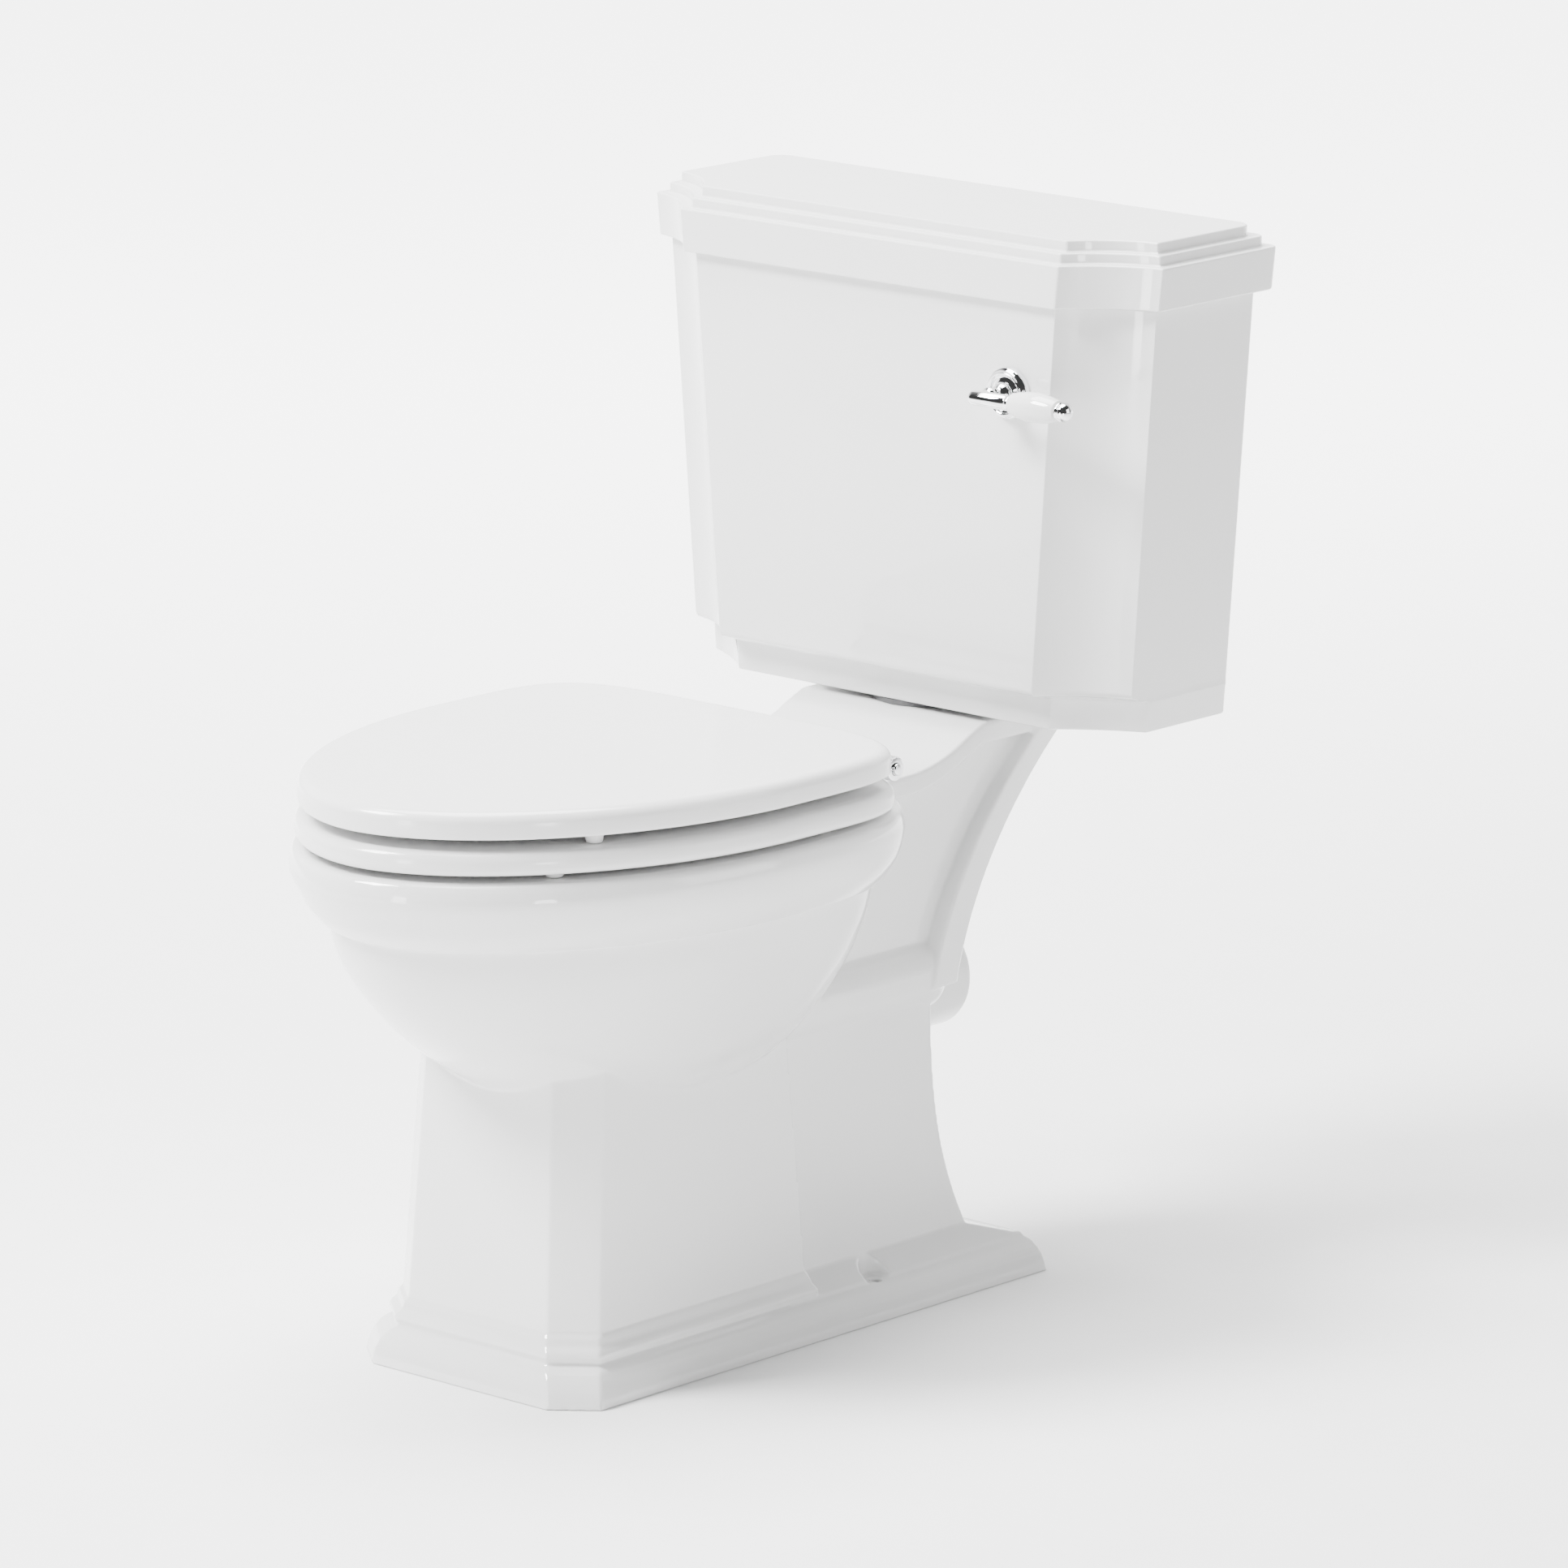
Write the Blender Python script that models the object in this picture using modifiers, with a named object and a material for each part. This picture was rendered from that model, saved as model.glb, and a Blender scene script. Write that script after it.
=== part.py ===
"""Close coupled toilet: pan, cistern, lid, seat, flush lever and the fittings inside the cistern.

Metres, +Z up. X runs across the toilet, -Y points at the person in front of it and +Y at the wall.
The origin lies on the floor under the middle of the whole toilet.
"""

import math

import bmesh
import bpy
from mathutils import Matrix, Vector

GAP = 0.0003  # between pieces that touch
RUNNING = 0.0004  # radial clearance of a turning or sliding fit
MERGE = 0.00005
ROUND = 20  # sides of a small turned piece
RIM_SIDES = 56  # sides of the bowl, the rim and the seat

# Pan
DECK_Z = 0.393
PLATFORM_Z = 0.418
RIM_HALF_WIDTH = 0.1836
RIM_FRONT = -0.3586
RIM_REAR = 0.106
RIM_MIDDLE = -0.090
RIM_DEPTH = 0.053
RIM_LIP = 0.018  # how far the rim's underside draws in
BOWL_OPENING_HALF = 0.126
BOWL_OPENING_FRONT = -0.292
BOWL_OPENING_REAR = 0.022
BOWL_WALL = 0.013
FRONT_POWER = 1.90
REAR_POWER = 3.0
BASE_HALF_WIDTH = 0.1155
BASE_FRONT = -0.246
BASE_BACK = 0.260
BASE_CHAMFER_X = 0.029
BASE_CHAMFER_Y = 0.024
SHAFT_INSET = 0.0175  # from the base's outline to the foot of the front column
SHAFT_TAPER = 0.0080
SHAFT_TOP_Z = 0.236
SHAFT_BACK = 0.016
REAR_BLOCK_HALF = 0.086
REAR_BLOCK_BACK = 0.1625
REAR_BLOCK_TOP_Z = 0.230
MOULDING_TOP_Z = 0.046
FOOT_TOP_Z = 0.042  # where the foot's slope meets the rear block
NECK_HALF = 0.079
BAND_HALF = 0.0895
BAND_DEPTH = 0.016
RIB_HALF = 0.0925
RIB_WIDTH = 0.027
PLATFORM_FRONT = 0.217
PLATFORM_BACK = 0.306
RAMP_FOOT = 0.124
TRAP_HALF = 0.090
HOLLOW_TOP_Z = 0.182
TRAP_BOTTOM_Z = 0.209
TRAP_TOP_Z = 0.264
TRAP_BACK = 0.188
OUTLET_Z = 0.2105
OUTLET_RADIUS = 0.042
OUTLET_BORE = 0.034
OUTLET_END = 0.2585
DUCT_HALF = 0.060
SCREW_X = 0.0995
SCREW_Y = 0.087
SCREW_RECESS_RADIUS = 0.013
SCREW_SEAT_Z = 0.0265
SCREW_HOLE_RADIUS = 0.0035

# Cistern
TANK_LIFT = 0.004  # the joint between the platform and the cistern
TANK_HEIGHT = 0.3155
TANK_HALF_TOP = 0.235
TANK_HALF_BOTTOM = 0.211
TANK_FRONT_TOP = 0.1931
TANK_FRONT_BOTTOM = 0.195
TANK_BACK = 0.3455
TANK_WALL = 0.011
TANK_FLOOR = 0.013
SCOOP_X = 0.061
SCOOP_Y = 0.040
SCOOP_SAG = 0.007
BACK_CORNER = 0.006
PLINTH_HEIGHT = 0.0275
PLINTH_SETBACK = 0.0205
PLINTH_CUT_X = 0.059
PLINTH_CUT_Y = 0.039
PLINTH_CUT_SAG = 0.003

# Lid
LID_OVERHANG_X = 0.0071
LID_OVERHANG_FRONT = 0.0077
LID_BACK = 0.3586
SKIRT_HEIGHT = 0.032
SKIRT_FLARE = 0.0035
TIER_HEIGHT = 0.0075
MIDDLE_TIER_INSET = 0.008
MIDDLE_TIER_INSET_BACK = 0.005
TOP_TIER_INSET_X = 0.0148
TOP_TIER_INSET_FRONT = 0.0168
TOP_TIER_INSET_BACK = 0.0108
LID_PLATE = 0.012
LIP_DEPTH = 0.010
LIP_THICKNESS = 0.008
LIP_CLEARANCE = 0.003

# Seat
SEAT_LIFT = 0.0047
RING_THICKNESS = 0.0175
COVER_LIFT = 0.0068
COVER_THICKNESS = 0.0205
SEAT_HALF_WIDTH = 0.1785
SEAT_FRONT = -0.3510
SEAT_REAR = 0.0575
SEAT_REAR_POWER = 5.0
RING_HOLE_HALF = 0.112
RING_HOLE_FRONT = -0.276
RING_HOLE_REAR = -0.006
EDGE_ROUND = 0.0085
COVER_LOWER_ROUND = 0.0020
RING_LOWER_ROUND = 0.0060
RING_OVERHANG = 0.0025  # how far the ring reaches beyond the cover
BUFFER_RADIUS = 0.007
HINGE_Y = 0.080
HINGE_LIFT = 0.019
HINGE_SPACING = 0.155
HINGE_BAR_RADIUS = 0.0045
HINGE_BAR_HALF = 0.127
HINGE_EYE_RADIUS = 0.009
POST_BASE_RADIUS = 0.014
POST_BASE_THICKNESS = 0.0045
STUD_RADIUS = 0.004
SLEEVE_RADIUS = 0.0065
SLEEVE_LENGTH = 0.030
LEAF_THICKNESS = 0.0025
LEAF_REACH = 0.047
RING_KNUCKLE = (0.0960, 0.1075)
COVER_KNUCKLE = (0.1120, 0.1240)

# Flush lever
LEVER_INSET = 0.09794  # from the cistern's side to the spindle
LEVER_DROP = 0.0665  # from the cistern's top edge down to the spindle
ROSETTE_RADIUS = 0.019
ROSETTE_DEPTH = 0.008
SPINDLE_RADIUS = 0.0045
BUSH_RADIUS = 0.008
NUT_RADIUS = 0.015
NUT_THICKNESS = 0.006
BAR_REACH = 0.032  # from the cistern's face to the bar's axis
BAR_RADIUS = 0.0057
BAR_LEFT = 0.009
BAR_LENGTH = 0.038
GRIP_LENGTH = 0.044
GRIP_RADIUS = 0.0110
GRIP_END_RADIUS = 0.0075
FINIAL_LENGTH = 0.014
FINIAL_RADIUS = 0.0072
COLLAR_RADIUS = 0.0085
COLLAR_STANDOFF = 0.0060
NECK_RADIUS = 0.0066
CRANK_OVERRUN = 0.025  # how far the crank reaches past the siphon's rod
CRANK_BOSS = 0.010
CRANK_RADIUS = 0.003

# Siphon, centred on the platform
SIPHON_Y = 0.262
CHAMBER_X = 0.045
CHAMBER_RADIUS = 0.034
CHAMBER_HEIGHT = 0.072
CHAMBER_LIFT = 0.012
FLANGE_THICKNESS = 0.015
CHAMBER_WALL = 0.0025
PIPE_RADIUS = 0.012
PIPE_WALL = 0.002
PIPE_TOP_Z = 0.600
TAIL_RADIUS = 0.022
TAIL_BELOW = 0.018
TAIL_HOLE = 0.024
ROD_RADIUS = 0.0025
LINK_RADIUS = 0.0105
LINK_WIRE = 0.0015
PLUNGER_THICKNESS = 0.004
PLUNGER_LIFT = 0.018
BACKNUT_RADIUS = 0.031
BACKNUT_HEIGHT = 0.008
DOUGHNUT_RADIUS = 0.046
INLET_RADIUS = 0.034

# Cistern fixings
COUPLING_SPACING = 0.124
COUPLING_BOLT_RADIUS = 0.004
BOLT_HOLE_RADIUS = 0.005
BOLT_HEAD_RADIUS = 0.0095
WASHER_THICKNESS = 0.003
PLATFORM_THICKNESS = 0.014
POCKET_HEIGHT = 0.034

# Fill valve and float
VALVE_X = -0.125
VALVE_Y = 0.290
VALVE_RADIUS = 0.010
VALVE_HEAD_RADIUS = 0.019
VALVE_TAIL = 0.030
VALVE_HOLE = 0.0115
PIVOT_Z = 0.590
PIVOT_OFFSET = 0.028
PIN_RADIUS = 0.0018
EAR_OFFSET = 0.0055
EAR_HALF = 0.0015
EAR_RISE = 0.008
ARM_LENGTH = 0.230
ARM_RADIUS = 0.0025
FLOAT_RADIUS = 0.036
FLOAT_REST_DEG = 22.0

TANK_Z = PLATFORM_Z + TANK_LIFT
TANK_TOP_Z = TANK_Z + TANK_HEIGHT
LID_Z = TANK_TOP_Z + GAP
RING_Z = DECK_Z + SEAT_LIFT
COVER_Z = RING_Z + RING_THICKNESS + COVER_LIFT
HINGE_Z = DECK_Z + HINGE_LIFT
FLOOR_TOP_Z = TANK_Z + TANK_FLOOR
LEVER_Z = TANK_TOP_Z - LEVER_DROP
LEVER_SHARE = (LEVER_Z - TANK_Z) / TANK_HEIGHT
LEVER_X = TANK_HALF_BOTTOM + (TANK_HALF_TOP - TANK_HALF_BOTTOM) * LEVER_SHARE - LEVER_INSET

MATERIALS = {
    "glazed_ceramic": ((0.86, 0.86, 0.85), 0.08, 0.0),
    "seat_lacquer": ((0.87, 0.87, 0.86), 0.18, 0.0),
    "chrome": ((0.80, 0.80, 0.82), 0.06, 1.0),
    "white_plastic": ((0.82, 0.82, 0.81), 0.40, 0.0),
    "grey_rubber": ((0.10, 0.10, 0.10), 0.75, 0.0),
    "brass": ((0.78, 0.60, 0.30), 0.25, 1.0),
    "float_plastic": ((0.75, 0.30, 0.10), 0.45, 0.0),
}


# Scene

def clear_scene():
    for obj in list(bpy.data.objects):
        bpy.data.objects.remove(obj, do_unlink=True)


def new_collection(name):
    collection = bpy.data.collections.new(name)
    bpy.context.scene.collection.children.link(collection)
    return collection


clear_scene()
PARTS = new_collection("close_coupled_toilet")
CUTTERS = new_collection("cutters")
CUTTERS.hide_render = True


def make_material(name):
    color, roughness, metallic = MATERIALS[name]
    material = bpy.data.materials.new(name)
    material.use_nodes = True
    shader = material.node_tree.nodes["Principled BSDF"]
    shader.inputs["Base Color"].default_value = (*color, 1.0)
    shader.inputs["Roughness"].default_value = roughness
    shader.inputs["Metallic"].default_value = metallic
    material.diffuse_color = (*color, 1.0)
    return material


SHARED_MATERIALS = {name: make_material(name) for name in MATERIALS}


def add_object(name, data, collection=None):
    obj = bpy.data.objects.new(name, data)
    (collection or CUTTERS).objects.link(obj)
    return obj


def hide(obj):
    obj.hide_render = True
    obj.display_type = "WIRE"
    return obj


def finish(obj, name, material):
    """Turns a built shape into a named, visible part."""
    for holder in list(obj.users_collection):
        holder.objects.unlink(obj)
    PARTS.objects.link(obj)
    obj.name = name
    obj.hide_render = False
    obj.display_type = "TEXTURED"
    own = SHARED_MATERIALS[material].copy()
    own.name = name
    obj.data.materials.clear()
    obj.data.materials.append(own)
    return obj


# Shapes

def mesh_object(name, bm):
    bmesh.ops.recalc_face_normals(bm, faces=bm.faces)
    mesh = bpy.data.meshes.new(name)
    bm.to_mesh(mesh)
    bm.free()
    return hide(add_object(name, mesh))


def loft(name, sections):
    """A closed skin over outlines of equal point counts, each (outline, z), from the lowest up."""
    bm = bmesh.new()
    rings = []
    for outline, z in sections:
        rings.append([bm.verts.new((x, y, z)) for x, y in outline])
    for lower, upper in zip(rings, rings[1:]):
        count = len(lower)
        for i in range(count):
            j = (i + 1) % count
            bm.faces.new((lower[i], lower[j], upper[j], upper[i]))
    bm.faces.new(list(reversed(rings[0])))
    bm.faces.new(rings[-1])
    return mesh_object(name, bm)


def box(name, low, high, bevel=0.0):
    bm = bmesh.new()
    bmesh.ops.create_cube(bm, size=1.0)
    low = Vector(low)
    high = Vector(high)
    bmesh.ops.scale(bm, vec=high - low, verts=bm.verts)
    bmesh.ops.translate(bm, vec=(low + high) / 2, verts=bm.verts)
    obj = mesh_object(name, bm)
    if bevel:
        round_edges(obj, bevel, 3)
    return obj


def rod(name, start, end, radius, sides=ROUND):
    """A cylinder between two points."""
    start = Vector(start)
    end = Vector(end)
    turn = (end - start).to_track_quat("Z", "Y").to_matrix().to_4x4()
    place = Matrix.Translation((start + end) / 2) @ turn
    bm = bmesh.new()
    bmesh.ops.create_cone(
        bm,
        cap_ends=True,
        segments=sides,
        radius1=radius,
        radius2=radius,
        depth=(end - start).length,
        matrix=place,
    )
    return mesh_object(name, bm)


def ball(name, center, radius, stretch=1.0):
    bm = bmesh.new()
    bmesh.ops.create_uvsphere(bm, u_segments=ROUND, v_segments=ROUND // 2, radius=radius)
    bmesh.ops.scale(bm, vec=(stretch, 1.0, 1.0), verts=bm.verts)
    bmesh.ops.translate(bm, vec=center, verts=bm.verts)
    return mesh_object(name, bm)


def turned(name, profile, center=(0, 0, 0), axis=(0, 0, 1), sides=ROUND):
    """A turned piece: profile is (radius, height) from its top axis point down to its bottom one."""
    mesh = bpy.data.meshes.new(name)
    points = [(radius, 0.0, height) for radius, height in profile]
    mesh.from_pydata(points, [(i, i + 1) for i in range(len(points) - 1)], [])
    obj = hide(add_object(name, mesh))
    screw = obj.modifiers.new("turn", "SCREW")
    screw.steps = sides
    screw.render_steps = sides
    screw.use_merge_vertices = True
    screw.merge_threshold = MERGE
    turn = Vector(axis).to_track_quat("Z", "Y").to_matrix().to_4x4()
    apply_modifiers(obj)
    weld(obj.data)
    obj.data.transform(Matrix.Translation(center) @ turn)
    return obj


def tube(name, points, radius, sides=3):
    """A wire or pipe through points, as a closed mesh."""
    curve = bpy.data.curves.new(name, "CURVE")
    curve.dimensions = "3D"
    curve.bevel_depth = radius
    curve.bevel_resolution = sides
    curve.use_fill_caps = True
    spline = curve.splines.new("POLY")
    spline.points.add(len(points) - 1)
    for point, place in zip(spline.points, points):
        point.co = (*place, 1.0)
    return curve_to_mesh(name, add_object(name, curve))


def slab(name, outline, half_width, bevel=0.0):
    """A flat (y, z) outline with the thickness 2 * half_width along X."""
    curve = bpy.data.curves.new(name, "CURVE")
    curve.dimensions = "2D"
    curve.fill_mode = "BOTH"
    curve.extrude = half_width
    spline = curve.splines.new("POLY")
    spline.points.add(len(outline) - 1)
    for point, (y, z) in zip(spline.points, outline):
        point.co = (y, z, 0.0, 1.0)
    spline.use_cyclic_u = True
    obj = curve_to_mesh(name, add_object(name, curve))
    obj.data.transform(Matrix(((0, 0, 1, 0), (1, 0, 0, 0), (0, 1, 0, 0), (0, 0, 0, 1))))
    if bevel:
        round_edges(obj, bevel, 3)
    return obj


def curve_to_mesh(name, curve_object):
    bpy.context.view_layer.update()
    graph = bpy.context.evaluated_depsgraph_get()
    mesh = bpy.data.meshes.new_from_object(curve_object.evaluated_get(graph))
    weld(mesh)
    place = curve_object.matrix_world.copy()
    bpy.data.objects.remove(curve_object, do_unlink=True)
    obj = hide(add_object(name, mesh))
    obj.matrix_world = place
    return obj


def weld(mesh):
    """Closes the seams of a turned or swept shape and turns its faces outwards."""
    bm = bmesh.new()
    bm.from_mesh(mesh)
    bmesh.ops.remove_doubles(bm, verts=bm.verts, dist=MERGE)
    bmesh.ops.recalc_face_normals(bm, faces=bm.faces)
    bm.to_mesh(mesh)
    bm.free()


def apply_modifiers(obj):
    bpy.context.view_layer.update()
    graph = bpy.context.evaluated_depsgraph_get()
    mesh = bpy.data.meshes.new_from_object(obj.evaluated_get(graph))
    obj.modifiers.clear()
    obj.data = mesh
    return obj


def round_edges(obj, width, segments=2, angle=30.0):
    bevel = obj.modifiers.new("round", "BEVEL")
    bevel.width = width
    bevel.segments = segments
    bevel.limit_method = "ANGLE"
    bevel.angle_limit = math.radians(angle)
    return apply_modifiers(obj)


def combine(target, others, operation):
    for other in others:
        modifier = target.modifiers.new(other.name, "BOOLEAN")
        modifier.operation = operation
        modifier.object = other
        apply_modifiers(target)
    return target


def join(target, *others):
    return combine(target, others, "UNION")


def cut(target, *others):
    return combine(target, others, "DIFFERENCE")


def mirrored(obj, name):
    """A copy on the other side of the toilet's middle plane."""
    bm = bmesh.new()
    bm.from_mesh(obj.data)
    bmesh.ops.scale(bm, vec=(-1.0, 1.0, 1.0), verts=bm.verts)
    bmesh.ops.reverse_faces(bm, faces=bm.faces)
    mesh = bpy.data.meshes.new(name)
    bm.to_mesh(mesh)
    bm.free()
    return hide(add_object(name, mesh))


def both_sides(obj):
    return obj, mirrored(obj, obj.name + "_left")


def smooth(obj, angle=40.0):
    obj.data.shade_smooth()
    obj.data.set_sharp_from_angle(angle=math.radians(angle))
    return obj


def set_origin(obj, place):
    """Moves an object's origin, leaving its shape where it is."""
    obj.data.transform(Matrix.Translation(-Vector(place)))
    obj.location = place
    return obj


# Outlines

def egg(half_width, front, rear, middle=RIM_MIDDLE, front_power=FRONT_POWER, rear_power=REAR_POWER):
    """An egg-shaped plan outline, anticlockwise, pointed to the front and squarer to the rear."""
    points = []
    for i in range(RIM_SIDES):
        turn = 2 * math.pi * i / RIM_SIDES
        across = math.sin(turn)
        along = -math.cos(turn)
        power, reach = (front_power, middle - front) if along < 0 else (rear_power, rear - middle)
        x = half_width * math.copysign(abs(across) ** (2 / power), across)
        y = middle + reach * math.copysign(abs(along) ** (2 / power), along)
        points.append((x, y))
    return points


def scooped(half_width, front, back, cut_x, cut_y, sag, corner, steps=6):
    """A rectangle with hollow front corners and rounded back corners, anticlockwise."""
    start = Vector((half_width - cut_x, front))
    end = Vector((half_width, front + cut_y))
    inward = Vector((-cut_y, cut_x)).normalized()
    half = []
    for i in range(steps + 1):
        t = i / steps
        half.append(start.lerp(end, t) + inward * sag * 4 * t * (1 - t))
    for i in range(steps // 2 + 1):
        turn = math.pi / 2 * i / (steps // 2)
        x = half_width - corner + corner * math.cos(turn)
        y = back - corner + corner * math.sin(turn)
        half.append(Vector((x, y)))
    right = [(p.x, p.y) for p in half]
    return right + [(-x, y) for x, y in reversed(right)]


def chamfered(half_width, front, back, cut_x=BASE_CHAMFER_X, cut_y=BASE_CHAMFER_Y):
    """A rectangle with its two front corners cut off, anticlockwise."""
    right = [(half_width - cut_x, front), (half_width, front + cut_y), (half_width, back)]
    return right + [(-x, y) for x, y in reversed(right)]


def bezier(start, pull_a, pull_b, end, steps):
    points = []
    for i in range(steps + 1):
        t = i / steps
        weights = ((1 - t) ** 3, 3 * t * (1 - t) ** 2, 3 * t * t * (1 - t), t ** 3)
        knots = (start, pull_a, pull_b, end)
        points.append(tuple(sum(w * k[axis] for w, k in zip(weights, knots)) for axis in (0, 1)))
    return points


def arc(center, radius, start_deg, end_deg, steps):
    points = []
    for i in range(steps + 1):
        turn = math.radians(start_deg + (end_deg - start_deg) * i / steps)
        points.append((center[0] + radius * math.cos(turn), center[1] + radius * math.sin(turn)))
    return points


# Pan

def ramp_line(drop=0.0):
    """The deck's top line from the seat fixing up to the cistern platform, lowered by drop."""
    foot = (RAMP_FOOT, DECK_Z - drop)
    top = (PLATFORM_FRONT, PLATFORM_Z - drop)
    run = PLATFORM_FRONT - RAMP_FOOT
    return bezier(foot, (foot[0] + run * 0.55, foot[1]), (top[0] - run * 0.30, top[1] - 0.009), top, 8)


def back_line(inset=0.0):
    """The neck's back from the platform down to the outlet, moved forward by inset."""
    top = (PLATFORM_BACK - inset, PLATFORM_Z - 0.010)
    bottom = (REAR_BLOCK_BACK + 0.022 - inset, TRAP_BOTTOM_Z + 0.020)
    rise = top[1] - bottom[1]
    pull_top = (top[0] - 0.044, top[1] - rise * 0.20)
    pull_bottom = (bottom[0] + 0.019, bottom[1] + rise * 0.464)
    return bezier(top, pull_top, pull_bottom, bottom, 9)


def neck():
    """The bridge between the bowl and the cistern: side panels, edge band and back ribs."""
    front = -0.020
    low = TRAP_BOTTOM_Z + 0.010
    top_line = [(front, DECK_Z - 0.006)] + ramp_line(0.006)
    outline = [(front, low)] + list(reversed(back_line())) + list(reversed(top_line))
    panel = slab("neck_panel", outline, NECK_HALF)
    top = [(front, DECK_Z)] + ramp_line() + [(PLATFORM_BACK, PLATFORM_Z)]
    under = [(PLATFORM_BACK - 0.001, PLATFORM_Z - BAND_DEPTH)] + list(reversed(ramp_line(BAND_DEPTH)))
    band = slab("neck_band", top + under + [(front, DECK_Z - BAND_DEPTH)], BAND_HALF)
    inner = list(reversed(back_line(RIB_WIDTH)))
    rib = slab("neck_rib", back_line() + inner, RIB_HALF)
    return join(panel, band, rib)


def base_step(inset, z):
    outline = chamfered(BASE_HALF_WIDTH - inset, BASE_FRONT + inset, BASE_BACK - inset)
    return outline, z


def pedestal():
    moulding = loft("moulding", [
        base_step(0.0, 0.0),
        base_step(0.0010, 0.008),
        base_step(0.0055, 0.0225),
        base_step(0.0085, 0.0265),
        base_step(0.0110, 0.0275),
        base_step(0.0125, 0.0320),
    ])
    step_z = MOULDING_TOP_Z - 0.010
    foot_half = BASE_HALF_WIDTH - SHAFT_INSET
    foot_front = BASE_FRONT + SHAFT_INSET
    shaft_back = SHAFT_BACK
    collar = loft("collar", [
        (chamfered(foot_half + 0.005, foot_front - 0.005, shaft_back + 0.004), 0.020),
        (chamfered(foot_half + 0.005, foot_front - 0.005, shaft_back + 0.004), step_z - 0.002),
        (chamfered(foot_half + 0.003, foot_front - 0.003, shaft_back + 0.002), step_z),
        (chamfered(foot_half + 0.001, foot_front - 0.001, shaft_back), MOULDING_TOP_Z),
    ])
    top_half = foot_half - SHAFT_TAPER
    top_front = foot_front + SHAFT_TAPER * 2
    shaft = loft("shaft", [
        (chamfered(foot_half, foot_front, shaft_back), 0.020),
        (chamfered(top_half, top_front, shaft_back - SHAFT_TAPER * 2), SHAFT_TOP_Z),
    ])
    foot = loft("rear_foot", [
        (chamfered(BASE_HALF_WIDTH - 0.012, -0.030, BASE_BACK - 0.012), 0.0280),
        (chamfered(REAR_BLOCK_HALF + 0.001, -0.030, REAR_BLOCK_BACK + 0.041), FOOT_TOP_Z),
    ])
    return join(moulding, collar, shaft, foot, rear_block())


def rear_block():
    edge = bezier(
        (REAR_BLOCK_BACK, REAR_BLOCK_TOP_Z),
        (REAR_BLOCK_BACK - 0.001, 0.130),
        (REAR_BLOCK_BACK + 0.016, 0.086),
        (REAR_BLOCK_BACK + 0.040, FOOT_TOP_Z),
        8,
    )
    outline = [(-0.060, 0.022), (-0.060, REAR_BLOCK_TOP_Z)] + edge + [(REAR_BLOCK_BACK + 0.040, 0.022)]
    return slab("rear_block", outline, REAR_BLOCK_HALF)


def bowl_section(half_width, front, rear, z):
    return egg(half_width, front, rear), z


def rim():
    low = DECK_Z - RIM_DEPTH
    return loft("rim", [
        bowl_section(RIM_HALF_WIDTH - RIM_LIP, RIM_FRONT + RIM_LIP + 0.006, RIM_REAR - 0.008, low),
        bowl_section(RIM_HALF_WIDTH - 0.009, RIM_FRONT + 0.014, RIM_REAR - 0.005, low + 0.011),
        bowl_section(RIM_HALF_WIDTH - 0.003, RIM_FRONT + 0.008, RIM_REAR - 0.002, low + 0.022),
        bowl_section(RIM_HALF_WIDTH, RIM_FRONT, RIM_REAR, low + 0.036),
        bowl_section(RIM_HALF_WIDTH - 0.0005, RIM_FRONT + 0.001, RIM_REAR - 0.001, DECK_Z - 0.008),
        bowl_section(RIM_HALF_WIDTH - 0.003, RIM_FRONT + 0.004, RIM_REAR - 0.003, DECK_Z - 0.002),
        bowl_section(RIM_HALF_WIDTH - 0.008, RIM_FRONT + 0.009, RIM_REAR - 0.007, DECK_Z),
    ])


# Half width, front and rear of the bowl's outside, at heights below the deck
BOWL_SHAPE = (
    (0.040, -0.140, -0.030, 0.214),
    (0.078, -0.190, -0.010, 0.195),
    (0.098, -0.217, 0.020, 0.179),
    (0.116, -0.248, 0.042, 0.159),
    (0.131, -0.281, 0.066, 0.132),
    (0.145, -0.309, 0.084, 0.101),
    (0.155, -0.326, 0.092, 0.070),
    (0.160, -0.331, 0.093, 0.030),
)


def bowl():
    sections = [bowl_section(half, front, rear, DECK_Z - down) for half, front, rear, down in BOWL_SHAPE]
    return loft("bowl", sections)


# Half width, front, rear and middle of the sump, and the height of each section
SUMP_SHAPE = (
    (0.030, -0.085, -0.010, -0.045, 0.118),
    (0.044, -0.110, 0.004, -0.045, 0.148),
    (0.062, -0.160, 0.004, -0.060, 0.198),
)


def bowl_hollow():
    """The inside of the bowl, from the water's bottom up through the seat-side opening."""
    sections = [(egg(half, front, rear, middle), z) for half, front, rear, middle, z in SUMP_SHAPE]
    for half, front, rear, down in BOWL_SHAPE[3:6]:
        inset = BOWL_WALL + 0.003
        sections.append(bowl_section(half - inset, front + inset * 1.3, rear - inset * 2.4, DECK_Z - down))
    mouth = (BOWL_OPENING_HALF, BOWL_OPENING_FRONT, BOWL_OPENING_REAR)
    sections += [
        bowl_section(0.143, -0.311, 0.050, DECK_Z - 0.050),
        bowl_section(0.143, -0.311, 0.050, DECK_Z - 0.028),
        bowl_section(*mouth, DECK_Z - 0.018),
        bowl_section(*mouth, DECK_Z - 0.006),
        bowl_section(mouth[0] + 0.008, mouth[1] - 0.008, mouth[2] + 0.008, DECK_Z + 0.002),
    ]
    return loft("bowl_hollow", sections)


def trap_line():
    """The middle line of the waterway from the sump over the weir and out of the back."""
    dip = bezier((-0.050, 0.152), (0.010, 0.080), (0.062, 0.120), (0.092, 0.185), 7)
    crest = bezier((0.092, 0.185), (0.110, 0.222), (0.140, OUTLET_Z), (0.185, OUTLET_Z), 6)
    return [(0.0, y, z) for y, z in dip + crest[1:]] + [(0.0, OUTLET_END + 0.010, OUTLET_Z)]


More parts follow.
